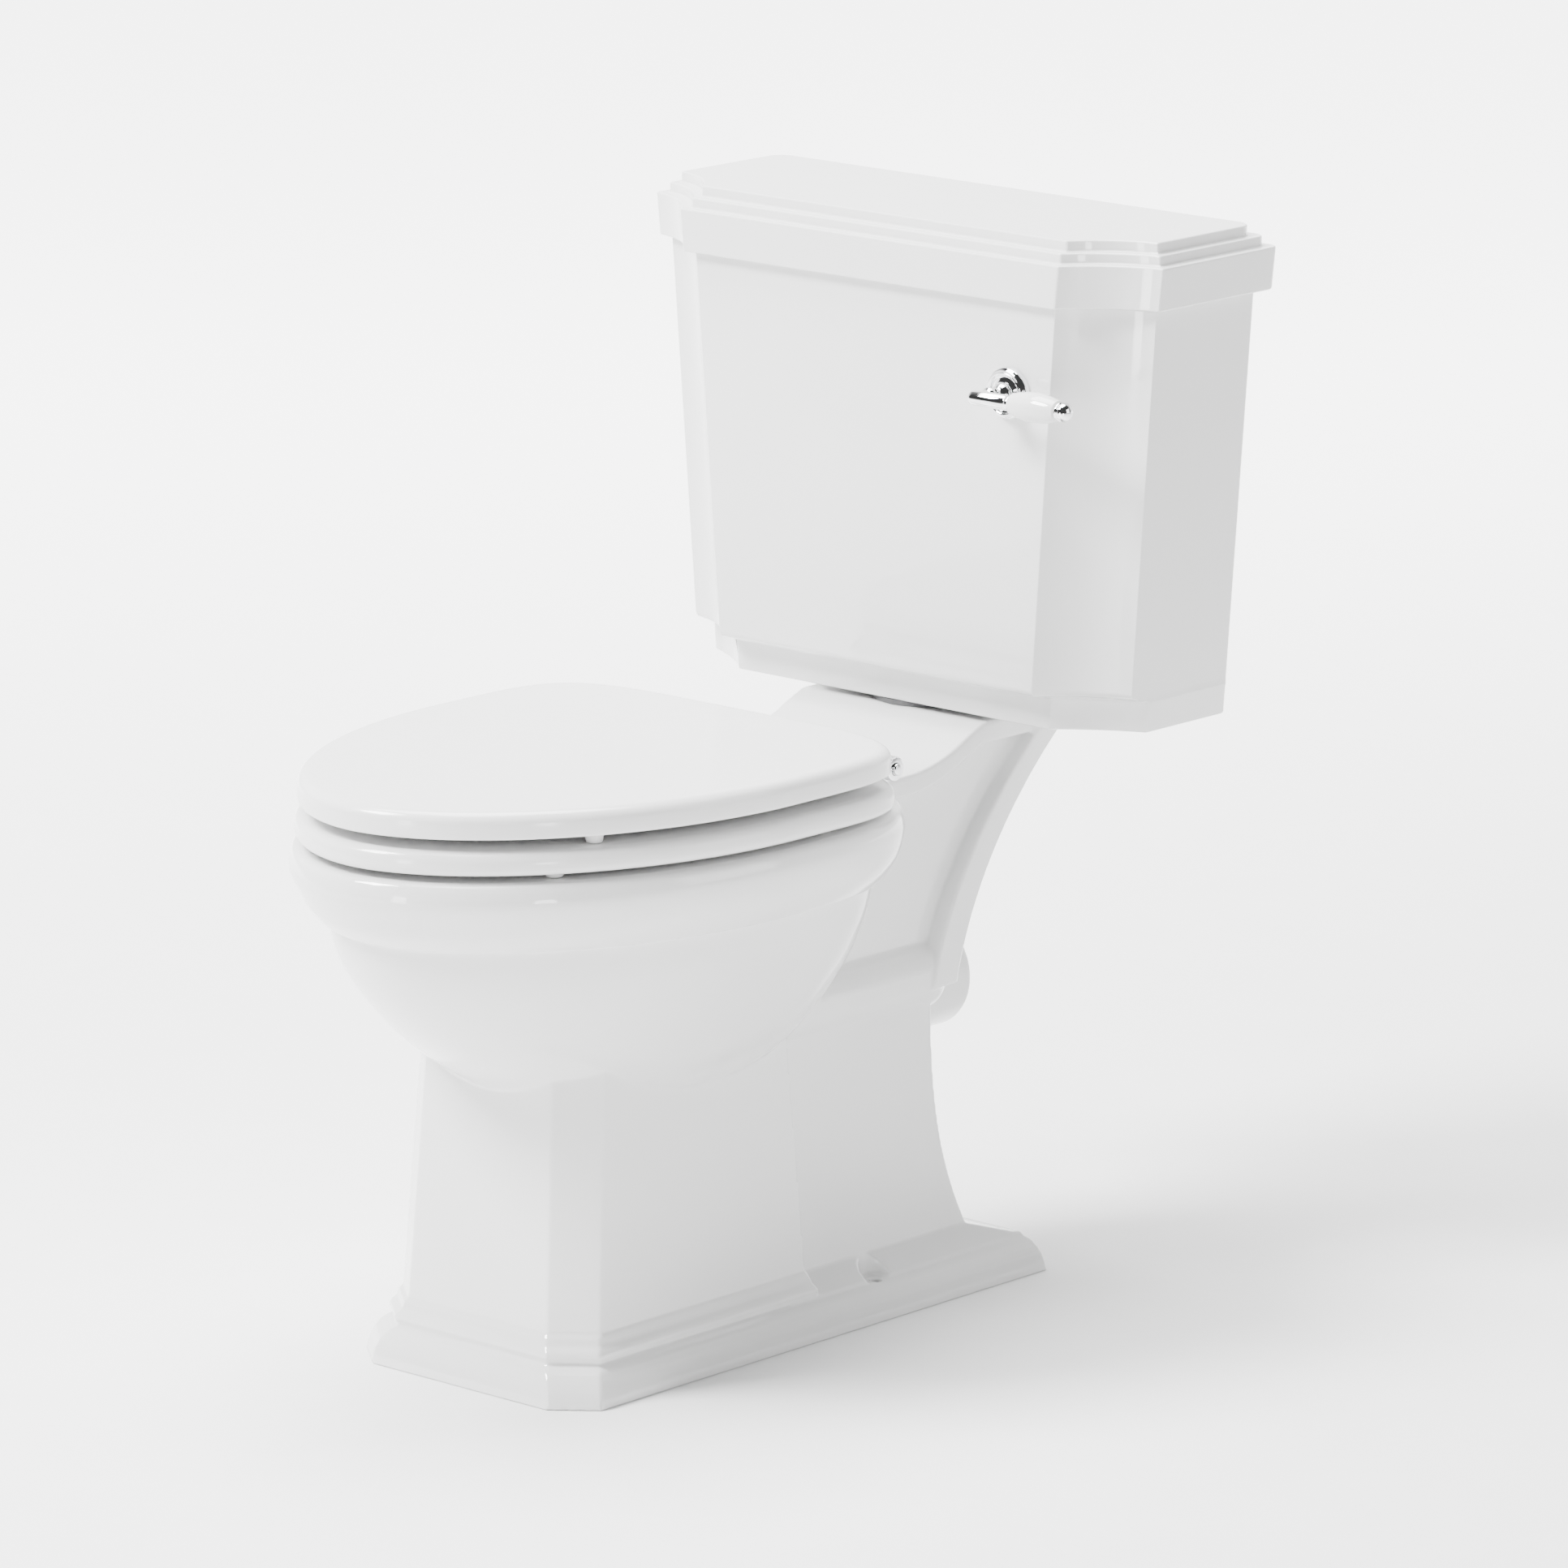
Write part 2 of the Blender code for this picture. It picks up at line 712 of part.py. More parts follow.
def trap_passage():
    return tube("trap_passage", trap_line(), OUTLET_BORE)


def flush_duct():
    """The channel from the cistern's outlet down to the rim."""
    outline = [
        (0.020, DECK_Z - 0.048),
        (0.110, DECK_Z - 0.078),
        (0.185, DECK_Z - 0.100),
        (0.222, DECK_Z - 0.060),
        (SIPHON_Y + 0.006, DECK_Z - 0.016),
        (SIPHON_Y + 0.006, PLATFORM_Z - 0.011),
        (PLATFORM_FRONT, PLATFORM_Z - 0.013),
        (RAMP_FOOT + 0.060, DECK_Z - 0.004),
        (RAMP_FOOT, DECK_Z - 0.013),
        (0.020, DECK_Z - 0.030),
    ]
    return slab("flush_duct", outline, DUCT_HALF)


def base_hollow():
    """The open inside of the foot, with the sump and the trap left standing in it."""
    half = REAR_BLOCK_HALF - BOWL_WALL - 0.003
    front = BASE_FRONT + SHAFT_INSET + BOWL_WALL + 0.020
    room = box("base_hollow", (-half, front, -0.010), (half, REAR_BLOCK_BACK - BOWL_WALL, HOLLOW_TOP_Z))
    trap = tube("trap_wall", trap_line(), OUTLET_BORE + BOWL_WALL)
    walls = [
        (egg(half + BOWL_WALL, front - BOWL_WALL, rear + BOWL_WALL, middle), z)
        for half, front, rear, middle, z in SUMP_SHAPE
    ]
    lowest, z = walls[0]
    sump = loft("sump_wall", [(lowest, z - BOWL_WALL)] + walls)
    return cut(room, trap, sump)


def pan_holes():
    """Screw recesses in the foot, hinge and coupling holes, and the flush inlet."""
    seat = (SCREW_X, SCREW_Y, SCREW_SEAT_Z)
    recess = rod("screw_recess", seat, (SCREW_X, SCREW_Y, MOULDING_TOP_Z + 0.020), SCREW_RECESS_RADIUS)
    below = (SCREW_X, SCREW_Y, -0.010)
    hole = rod("screw_hole", below, (SCREW_X, SCREW_Y, SCREW_SEAT_Z + 0.010), SCREW_HOLE_RADIUS, 12)
    hinge_x = HINGE_SPACING / 2
    socket_top = (hinge_x, HINGE_Y, DECK_Z + 0.010)
    socket_end = (hinge_x, HINGE_Y, DECK_Z - SLEEVE_LENGTH - 0.004)
    socket = rod("hinge_socket", socket_top, socket_end, SLEEVE_RADIUS + GAP, 16)
    bolt_x = COUPLING_SPACING / 2
    floor = PLATFORM_Z - PLATFORM_THICKNESS
    bolt_top = (bolt_x, SIPHON_Y, PLATFORM_Z + 0.010)
    bolt = rod("bolt_hole", (bolt_x, SIPHON_Y, floor - 0.006), bolt_top, BOLT_HOLE_RADIUS, 12)
    pocket_low = (bolt_x - 0.013, SIPHON_Y - 0.013, floor - POCKET_HEIGHT)
    pocket = box("nut_pocket", pocket_low, (bolt_x + 0.013, PLATFORM_BACK + 0.010, floor))
    inlet_end = (0, SIPHON_Y, PLATFORM_Z - 0.020)
    inlet = rod("inlet", inlet_end, (0, SIPHON_Y, PLATFORM_Z + 0.010), INLET_RADIUS, 28)
    sided = (recess, hole, socket, pocket, bolt)
    return [inlet] + [copy for item in sided for copy in both_sides(item)]


def build_pan():
    trap = box("trap_band", (-TRAP_HALF, -0.040, TRAP_BOTTOM_Z), (TRAP_HALF, TRAP_BACK, TRAP_TOP_Z), 0.0225)
    spigot = rod("spigot", (0, 0.140, OUTLET_Z), (0, OUTLET_END, OUTLET_Z), OUTLET_RADIUS, 36)
    round_edges(spigot, 0.003, 2)
    pan = join(pedestal(), trap, neck(), bowl(), rim(), spigot)
    cut(pan, bowl_hollow(), trap_passage(), flush_duct(), base_hollow(), *pan_holes())
    return smooth(finish(pan, "pan", "glazed_ceramic"), 28.0)


# Cistern

def tank_half(z):
    share = (z - TANK_Z) / TANK_HEIGHT
    return TANK_HALF_BOTTOM + (TANK_HALF_TOP - TANK_HALF_BOTTOM) * share


def tank_outline(z, wall=0.0):
    share = (z - TANK_Z) / TANK_HEIGHT
    front = TANK_FRONT_BOTTOM + (TANK_FRONT_TOP - TANK_FRONT_BOTTOM) * share
    return scooped(
        tank_half(z) - wall, front + wall, TANK_BACK - wall, SCOOP_X, SCOOP_Y, SCOOP_SAG, BACK_CORNER
    ), z


def plinth_outline(z, wall=0.0):
    front = TANK_FRONT_BOTTOM + PLINTH_SETBACK
    hollow = (PLINTH_CUT_X, PLINTH_CUT_Y, PLINTH_CUT_SAG)
    return scooped(tank_half(z) - wall, front + wall, TANK_BACK - wall, *hollow, BACK_CORNER), z


def floor_hole(name, x, y, radius, sides):
    """A cutter through the cistern's floor."""
    return rod(name, (x, y, TANK_Z - 0.010), (x, y, FLOOR_TOP_Z + 0.010), radius, sides)


def tank_holes():
    siphon = floor_hole("siphon_hole", 0.0, SIPHON_Y, TAIL_HOLE, 28)
    bolt = floor_hole("bolt_hole", COUPLING_SPACING / 2, SIPHON_Y, BOLT_HOLE_RADIUS, 12)
    valve = floor_hole("valve_hole", VALVE_X, VALVE_Y, VALVE_HOLE, 16)
    front = TANK_FRONT_TOP - 0.020
    back = TANK_FRONT_TOP + 0.040
    lever = rod("lever_hole", lever_axis_point(front), lever_axis_point(back), BUSH_RADIUS + GAP, 16)
    return [siphon, valve, lever, *both_sides(bolt)]


def build_tank():
    shelf_z = TANK_Z + PLINTH_HEIGHT
    tank = loft("tank", [
        plinth_outline(TANK_Z),
        plinth_outline(shelf_z - 0.004),
        tank_outline(shelf_z),
        tank_outline(TANK_TOP_Z),
    ])
    hollow = loft("tank_hollow", [
        plinth_outline(FLOOR_TOP_Z, TANK_WALL),
        plinth_outline(shelf_z + TANK_WALL, TANK_WALL),
        tank_outline(shelf_z + TANK_WALL + 0.020, TANK_WALL),
        tank_outline(TANK_TOP_Z + 0.010, TANK_WALL),
    ])
    cut(tank, hollow, *tank_holes())
    return smooth(finish(tank, "cistern_tank", "glazed_ceramic"), 28.0)


def lid_outline(z, inset_x=0.0, inset_front=0.0, inset_back=0.0, scoop=1.0):
    half = TANK_HALF_TOP + LID_OVERHANG_X
    front = TANK_FRONT_TOP - LID_OVERHANG_FRONT
    return scooped(
        half - inset_x,
        front + inset_front,
        LID_BACK - inset_back,
        (SCOOP_X + 0.0017) * scoop,
        (SCOOP_Y + 0.002) * scoop,
        SCOOP_SAG,
        BACK_CORNER + 0.002,
    ), z


def build_lid():
    wall = TANK_WALL + LIP_CLEARANCE
    skirt_z = LID_Z + SKIRT_HEIGHT
    middle_z = skirt_z + TIER_HEIGHT
    top_z = middle_z + TIER_HEIGHT + 0.0005
    middle = dict(
        inset_x=MIDDLE_TIER_INSET - SKIRT_FLARE,
        inset_front=MIDDLE_TIER_INSET,
        inset_back=MIDDLE_TIER_INSET_BACK,
        scoop=0.95,
    )
    top = dict(
        inset_x=TOP_TIER_INSET_X - SKIRT_FLARE,
        inset_front=TOP_TIER_INSET_FRONT,
        inset_back=TOP_TIER_INSET_BACK,
        scoop=0.87,
    )
    worn = {**top, "inset_x": top["inset_x"] + 0.002, "inset_front": top["inset_front"] + 0.002}
    lid = loft("lid", [
        (tank_outline(TANK_TOP_Z, wall)[0], LID_Z - LIP_DEPTH),
        (tank_outline(TANK_TOP_Z, wall)[0], LID_Z),
        lid_outline(LID_Z),
        lid_outline(skirt_z, inset_x=-SKIRT_FLARE),
        lid_outline(skirt_z, **middle),
        lid_outline(middle_z, **middle),
        lid_outline(middle_z, **top),
        lid_outline(top_z - 0.002, **top),
        lid_outline(top_z, **worn),
    ])
    inner = tank_outline(TANK_TOP_Z, wall + LIP_THICKNESS)[0]
    hollow = loft("lid_hollow", [(inner, LID_Z - LIP_DEPTH - 0.010), (inner, top_z - LID_PLATE)])
    cut(lid, hollow)
    return smooth(finish(lid, "cistern_lid", "glazed_ceramic"), 28.0)


# Seat

def seat_outline(inset):
    return egg(
        SEAT_HALF_WIDTH - inset, SEAT_FRONT + inset, SEAT_REAR - inset, rear_power=SEAT_REAR_POWER
    )


def rounded_plate(name, z, thickness, lower_round, overhang=0.0):
    """A seat-shaped plate with its edge rounded above by EDGE_ROUND and below by lower_round."""
    edge = EDGE_ROUND
    return loft(name, [
        (seat_outline(lower_round - overhang), z),
        (seat_outline(lower_round * 0.30 - overhang), z + lower_round * 0.30),
        (seat_outline(-overhang), z + lower_round),
        (seat_outline(-overhang), z + thickness - edge),
        (seat_outline(edge * 0.13 - overhang), z + thickness - edge * 0.50),
        (seat_outline(edge * 0.50 - overhang), z + thickness - edge * 0.13),
        (seat_outline(edge - overhang), z + thickness),
    ])


def build_cover():
    cover = rounded_plate("seat_cover", COVER_Z, COVER_THICKNESS, COVER_LOWER_ROUND)
    finish(cover, "seat_cover", "seat_lacquer")
    return smooth(set_origin(cover, (0, HINGE_Y, HINGE_Z)), 50.0)


def build_ring():
    ring = rounded_plate("seat_ring", RING_Z, RING_THICKNESS, RING_LOWER_ROUND, RING_OVERHANG)
    hole = egg(RING_HOLE_HALF, RING_HOLE_FRONT, RING_HOLE_REAR)
    flared = egg(RING_HOLE_HALF + 0.010, RING_HOLE_FRONT - 0.010, RING_HOLE_REAR + 0.010)
    top = RING_Z + RING_THICKNESS
    opening = loft("ring_opening", [
        (hole, RING_Z - 0.005),
        (hole, top - 0.007),
        (flared, top + 0.0035),
    ])
    cut(ring, opening)
    finish(ring, "seat_ring", "seat_lacquer")
    return smooth(set_origin(ring, (0, HINGE_Y, HINGE_Z)), 50.0)


def build_buffer(name, x, y, low, high):
    bottom = BUFFER_RADIUS * 0.8
    profile = [(0.0, high), (BUFFER_RADIUS, high), (bottom, low), (0.0, low)]
    buffer = turned(name, profile, (x, y, 0.0), sides=16)
    return smooth(finish(buffer, name, "white_plastic"))


def build_buffers():
    for side, sign in (("right", 1), ("left", -1)):
        ring_top = RING_Z + RING_THICKNESS
        build_buffer(f"cover_buffer_{side}", sign * 0.126, -0.237, ring_top + GAP, COVER_Z - GAP)
        build_buffer(f"ring_buffer_front_{side}", sign * 0.112, -0.262, DECK_Z + GAP, RING_Z - GAP)
        build_buffer(f"ring_buffer_rear_{side}", sign * 0.152, -0.030, DECK_Z + GAP, RING_Z - GAP)


def knuckle(name, span, leaf_z):
    """A hinge eye with its leaf, which reaches forward under the lid or over the ring."""
    low, high = span
    eye = rod(name, (low, HINGE_Y, HINGE_Z), (high, HINGE_Y, HINGE_Z), HINGE_EYE_RADIUS)
    leaf = box("leaf", (low, HINGE_Y - LEAF_REACH, leaf_z), (high, HINGE_Y, leaf_z + LEAF_THICKNESS))
    ends = ((low - 0.01, HINGE_Y, HINGE_Z), (high + 0.01, HINGE_Y, HINGE_Z))
    bore = rod("bore", *ends, HINGE_BAR_RADIUS + RUNNING)
    return cut(join(eye, leaf), bore)


def build_knuckles():
    ring_leaf = RING_Z + RING_THICKNESS + GAP
    cover_leaf = COVER_Z - LEAF_THICKNESS - GAP
    for kind, span, leaf_z in (("ring", RING_KNUCKLE, ring_leaf), ("cover", COVER_KNUCKLE, cover_leaf)):
        for side, piece in zip(("right", "left"), both_sides(knuckle(kind, span, leaf_z))):
            finish(piece, f"{kind}_hinge_{side}", "chrome")
            smooth(set_origin(piece, (0, HINGE_Y, HINGE_Z)))


def hinge_post():
    x = HINGE_SPACING / 2
    base_z = DECK_Z + GAP
    base = rod("post", (x, HINGE_Y, base_z), (x, HINGE_Y, base_z + POST_BASE_THICKNESS), POST_BASE_RADIUS)
    pillar = rod("pillar", (x, HINGE_Y, base_z + 0.001), (x, HINGE_Y, HINGE_Z), 0.0065)
    eye = rod("eye", (x - 0.009, HINGE_Y, HINGE_Z), (x + 0.009, HINGE_Y, HINGE_Z), HINGE_EYE_RADIUS - 0.001)
    stud = rod("stud", (x, HINGE_Y, base_z + 0.001), (x, HINGE_Y, DECK_Z - SLEEVE_LENGTH), STUD_RADIUS, 12)
    bore = rod("bore", (x - 0.02, HINGE_Y, HINGE_Z), (x + 0.02, HINGE_Y, HINGE_Z), HINGE_BAR_RADIUS + GAP)
    return cut(join(base, pillar, eye, stud), bore)


def hinge_sleeve():
    x = HINGE_SPACING / 2
    top = (x, HINGE_Y, DECK_Z - GAP)
    bottom = (x, HINGE_Y, DECK_Z - SLEEVE_LENGTH - 0.003)
    sleeve = rod("sleeve", top, bottom, SLEEVE_RADIUS, 16)
    below = (x, HINGE_Y, DECK_Z - SLEEVE_LENGTH - 0.01)
    bore = rod("bore", (x, HINGE_Y, DECK_Z + 0.01), below, STUD_RADIUS + GAP, 12)
    return cut(sleeve, bore)


def build_hinge():
    ends = ((-HINGE_BAR_HALF, HINGE_Y, HINGE_Z), (HINGE_BAR_HALF, HINGE_Y, HINGE_Z))
    bar = rod("hinge_bar", *ends, HINGE_BAR_RADIUS)
    round_edges(bar, 0.0015, 2)
    smooth(finish(bar, "hinge_bar", "chrome"))
    for side, piece in zip(("right", "left"), both_sides(hinge_post())):
        smooth(finish(piece, f"hinge_post_{side}", "chrome"))
    for side, piece in zip(("right", "left"), both_sides(hinge_sleeve())):
        smooth(finish(piece, f"hinge_sleeve_{side}", "grey_rubber"))
    build_knuckles()


# Flush lever

def lever_front():
    return TANK_FRONT_BOTTOM + (TANK_FRONT_TOP - TANK_FRONT_BOTTOM) * LEVER_SHARE


def build_rosette():
    """A stepped, dished flange against the cistern, with the bush that passes through its wall."""
    radius = ROSETTE_RADIUS
    bore = SPINDLE_RADIUS + RUNNING
    face = lever_front() - GAP
    through = TANK_WALL + NUT_THICKNESS + 0.006
    profile = [
        (bore, 0.0045),
        (radius * 0.40, 0.0045),
        (radius * 0.66, 0.0050),
        (radius * 0.74, ROSETTE_DEPTH),
        (radius * 0.82, ROSETTE_DEPTH),
        (radius * 0.86, 0.0050),
        (radius * 0.98, 0.0042),
        (radius, 0.0030),
        (radius, 0.0),
        (BUSH_RADIUS, 0.0),
        (BUSH_RADIUS, -through),
        (bore, -through),
        (bore, 0.0045),
    ]
    rosette = turned("rosette", profile, (LEVER_X, face, LEVER_Z), (0, -1, 0), 28)
    smooth(finish(rosette, "lever_rosette", "chrome"))
    inner = face + TANK_WALL + 0.002
    nut = rod("nut", lever_axis_point(inner), lever_axis_point(inner + NUT_THICKNESS), NUT_RADIUS, 6)
    hole = rod("hole", lever_axis_point(inner - 0.01), lever_axis_point(inner + 0.02), BUSH_RADIUS + GAP)
    cut(nut, hole)
    finish(nut, "lever_backnut", "brass")


def lever_axis_point(y):
    return (LEVER_X, y, LEVER_Z)


def build_lever():
    """Spindle, bar, grip, finial and crank, which turn together."""
    bar_y = lever_front() - BAR_REACH
    neck_start = bar_y + BAR_RADIUS + GAP
    collar = -(lever_front() - COLLAR_STANDOFF - neck_start)
    end = -(SIPHON_Y + CRANK_BOSS - neck_start)
    spindle = turned("spindle", [
        (0.0, 0.0),
        (SPINDLE_RADIUS, 0.0),
        (SPINDLE_RADIUS, -0.003),
        (NECK_RADIUS, -0.0045),
        (NECK_RADIUS, -0.0080),
        (SPINDLE_RADIUS, -0.0095),
        (SPINDLE_RADIUS, collar + 0.0045),
        (COLLAR_RADIUS, collar + 0.0040),
        (COLLAR_RADIUS, collar),
        (SPINDLE_RADIUS, collar),
        (SPINDLE_RADIUS, end),
        (0.0, end),
    ], lever_axis_point(neck_start), (0, -1, 0))
    pieces = [finish(spindle, "lever_spindle", "chrome")]
    left = LEVER_X - BAR_LEFT
    bar = rod("bar", (left, bar_y, LEVER_Z), (left + BAR_LENGTH, bar_y, LEVER_Z), BAR_RADIUS)
    pieces.append(finish(round_edges(bar, 0.0012, 2), "lever_bar", "chrome"))
    grip_start = left + BAR_LENGTH + GAP
    grip_profile = [(0.0, GRIP_LENGTH), (GRIP_END_RADIUS, GRIP_LENGTH)]
    for i in range(1, 8):
        t = i / 8
        swell = (GRIP_RADIUS - GRIP_END_RADIUS) * math.sin(math.pi * t) ** 0.8
        grip_profile.append((GRIP_END_RADIUS + swell, GRIP_LENGTH * (1 - t)))
    grip_profile += [(GRIP_END_RADIUS - 0.001, 0.0), (0.0, 0.0)]
    grip = turned("grip", grip_profile, (grip_start, bar_y, LEVER_Z), (1, 0, 0))
    pieces.append(finish(grip, "lever_grip", "glazed_ceramic"))
    finial_start = grip_start + GRIP_LENGTH + GAP
    dome = [(FINIAL_RADIUS * math.sin(turn), FINIAL_LENGTH - FINIAL_RADIUS * (1 - math.cos(turn)))
            for turn in (math.pi / 2 * i / 5 for i in range(6))]
    dome += [(FINIAL_RADIUS, 0.003), (FINIAL_RADIUS - 0.0015, 0.0), (0.0, 0.0)]
    finial = turned("finial", dome, (finial_start, bar_y, LEVER_Z), (1, 0, 0))
    pieces.append(finish(finial, "lever_finial", "chrome"))
    pieces.append(finish(crank(), "lever_crank", "brass"))
    for piece in pieces:
        smooth(set_origin(piece, lever_axis_point(bar_y)))


def crank():
    half = CRANK_BOSS * 0.6
    boss = rod("crank", lever_axis_point(SIPHON_Y - half), lever_axis_point(SIPHON_Y + half), 0.009)
    arm_end = (CHAMBER_X - CRANK_OVERRUN, SIPHON_Y, LEVER_Z)
    arm = rod("arm", (LEVER_X - 0.007, SIPHON_Y, LEVER_Z), arm_end, CRANK_RADIUS, 12)
    ends = (lever_axis_point(SIPHON_Y - 0.02), lever_axis_point(SIPHON_Y + 0.02))
    bore = rod("bore", *ends, SPINDLE_RADIUS + GAP)
    return cut(join(boss, arm), bore)


# Siphon

def chamber_top():
    return FLOOR_TOP_Z + CHAMBER_LIFT + CHAMBER_HEIGHT


def siphon_path(start_z, end_z):
    """Up from the chamber's roof, over, and down through the cistern's floor."""
    riser = CHAMBER_X - 0.017
    bend = riser / 2
    path = [(riser, start_z)] + arc((bend, PIPE_TOP_Z - bend), bend, 0, 180, 8) + [(0.0, end_z)]
    return [(x, SIPHON_Y, z) for x, z in path]


def build_siphon():
    low = FLOOR_TOP_Z + CHAMBER_LIFT
    top = chamber_top()
    body = rod("siphon", (CHAMBER_X, SIPHON_Y, low), (CHAMBER_X, SIPHON_Y, top), CHAMBER_RADIUS, 28)
    pipe = tube("pipe", siphon_path(top - 0.001, TANK_Z), PIPE_RADIUS)
    flange_top = (0, SIPHON_Y, FLOOR_TOP_Z + FLANGE_THICKNESS)
    flange = rod("flange", (0, SIPHON_Y, FLOOR_TOP_Z + GAP), flange_top, TAIL_RADIUS + 0.008, 28)
    tail_end = (0, SIPHON_Y, TANK_Z - TAIL_BELOW)
    tail = rod("tail", tail_end, (0, SIPHON_Y, FLOOR_TOP_Z + 0.004), TAIL_RADIUS, 28)
    join(body, pipe, flange, tail)
    inside = CHAMBER_RADIUS - CHAMBER_WALL
    room_low = (CHAMBER_X, SIPHON_Y, FLOOR_TOP_Z - 0.010)
    room = rod("room", room_low, (CHAMBER_X, SIPHON_Y, top - CHAMBER_WALL), inside, 28)
    keep_top = (0, SIPHON_Y, FLOOR_TOP_Z + FLANGE_THICKNESS + 0.0005)
    keep = rod("keep", (0, SIPHON_Y, TANK_Z), keep_top, TAIL_RADIUS + 0.0085, 28)
    cut(room, keep)
    bore = tube("pipe_bore", siphon_path(top - 0.006, TANK_Z - 0.040), PIPE_RADIUS - PIPE_WALL)
    guide_end = (CHAMBER_X, SIPHON_Y, top - 0.010)
    guide = rod("guide", guide_end, (CHAMBER_X, SIPHON_Y, top + 0.010), ROD_RADIUS + RUNNING, 12)
    cut(body, room, bore, guide)
    smooth(finish(body, "siphon_body", "white_plastic"))


def build_siphon_rod():
    """Lift rod, with the wire ring that the lever's crank passes through, and the plunger."""
    plate_z = FLOOR_TOP_Z + PLUNGER_LIFT
    x = CHAMBER_X
    foot = (x, SIPHON_Y, plate_z + PLUNGER_THICKNESS + GAP)
    lift = rod("lift", foot, (x, SIPHON_Y, LEVER_Z - LINK_RADIUS), ROD_RADIUS, 12)
    wire = [
        (LINK_RADIUS + LINK_WIRE * math.cos(turn), LINK_WIRE * math.sin(turn))
        for turn in (-2 * math.pi * i / 8 for i in range(9))
    ]
    ring = turned("ring", wire, (x, SIPHON_Y, LEVER_Z), (1, 0, 0), 24)
    smooth(finish(join(lift, ring), "siphon_lift_rod", "brass"))
    inside = CHAMBER_RADIUS - CHAMBER_WALL - 0.0015
    plunger = rod("plunger", (x, SIPHON_Y, plate_z), (x, SIPHON_Y, plate_z + PLUNGER_THICKNESS), inside, 28)
    smooth(finish(plunger, "siphon_plunger", "white_plastic"))


def build_siphon_seals():
    """The nut under the cistern and the soft ring between the cistern and the pan."""
    bore = TAIL_RADIUS + GAP
    nut_top = TANK_Z - GAP
    nut = rod("nut", (0, SIPHON_Y, nut_top - BACKNUT_HEIGHT), (0, SIPHON_Y, nut_top), BACKNUT_RADIUS, 8)
    hole = rod("hole", (0, SIPHON_Y, 0.38), (0, SIPHON_Y, 0.44), bore, 28)
    finish(cut(nut, hole), "siphon_backnut", "white_plastic")
    outer = BACKNUT_RADIUS + 0.0025
    seal = rod("seal", (0, SIPHON_Y, PLATFORM_Z + GAP), (0, SIPHON_Y, nut_top), DOUGHNUT_RADIUS, 32)
    room = rod("room", (0, SIPHON_Y, 0.38), (0, SIPHON_Y, 0.44), outer, 32)
    smooth(finish(cut(seal, room), "doughnut_seal", "grey_rubber"))


# Fixings between the cistern and the pan

def coupling_bolt():
    x = COUPLING_SPACING / 2
    head_z = FLOOR_TOP_Z + WASHER_THICKNESS + 2 * GAP
    head = rod("bolt", (x, SIPHON_Y, head_z), (x, SIPHON_Y, head_z + 0.005), BOLT_HEAD_RADIUS, 6)
    end_z = PLATFORM_Z - PLATFORM_THICKNESS - 0.020
    shank = rod("shank", (x, SIPHON_Y, end_z), (x, SIPHON_Y, head_z + 0.001), COUPLING_BOLT_RADIUS, 12)
    return join(head, shank)


def bolt_washer():
    x = COUPLING_SPACING / 2
    low = FLOOR_TOP_Z + GAP
    high = (x, SIPHON_Y, low + WASHER_THICKNESS)
    washer = rod("washer", (x, SIPHON_Y, low), high, BOLT_HEAD_RADIUS + 0.002)
    hole = rod("hole", (x, SIPHON_Y, low - 0.01), (x, SIPHON_Y, low + 0.02), COUPLING_BOLT_RADIUS + GAP, 12)
    return cut(washer, hole)


def wing_nut():
    x = COUPLING_SPACING / 2
    top = PLATFORM_Z - PLATFORM_THICKNESS - GAP
    hub = rod("nut", (x, SIPHON_Y, top - 0.008), (x, SIPHON_Y, top), 0.0072, 12)
    wings_high = (x + 0.0012, SIPHON_Y + 0.0115, top - 0.003)
    wings = box("wings", (x - 0.0012, SIPHON_Y - 0.0115, top - 0.014), wings_high)
    hole = rod("hole", (x, SIPHON_Y, top - 0.03), (x, SIPHON_Y, top + 0.01), COUPLING_BOLT_RADIUS + GAP, 12)
    return cut(join(hub, wings), hole)


def build_coupling():
    fixings = (
        ("coupling_bolt", coupling_bolt(), "brass"),
        ("bolt_washer", bolt_washer(), "grey_rubber"),
        ("wing_nut", wing_nut(), "brass"),
    )
    for name, piece, material in fixings:
        for side, copy in zip(("right", "left"), both_sides(piece)):
            smooth(finish(copy, f"{name}_{side}", material))


# Fill valve and float

def pivot_point(offset=0.0):
    """A point on the float's pivot, offset along it."""
    return (VALVE_X + PIVOT_OFFSET, VALVE_Y + offset, PIVOT_Z)


def valve_ear(offset):
    low = (VALVE_X, VALVE_Y + offset - EAR_HALF, PIVOT_Z - EAR_RISE)
    high = (VALVE_X + PIVOT_OFFSET + 0.006, VALVE_Y + offset + EAR_HALF, PIVOT_Z + EAR_RISE)
    return box("ear", low, high)


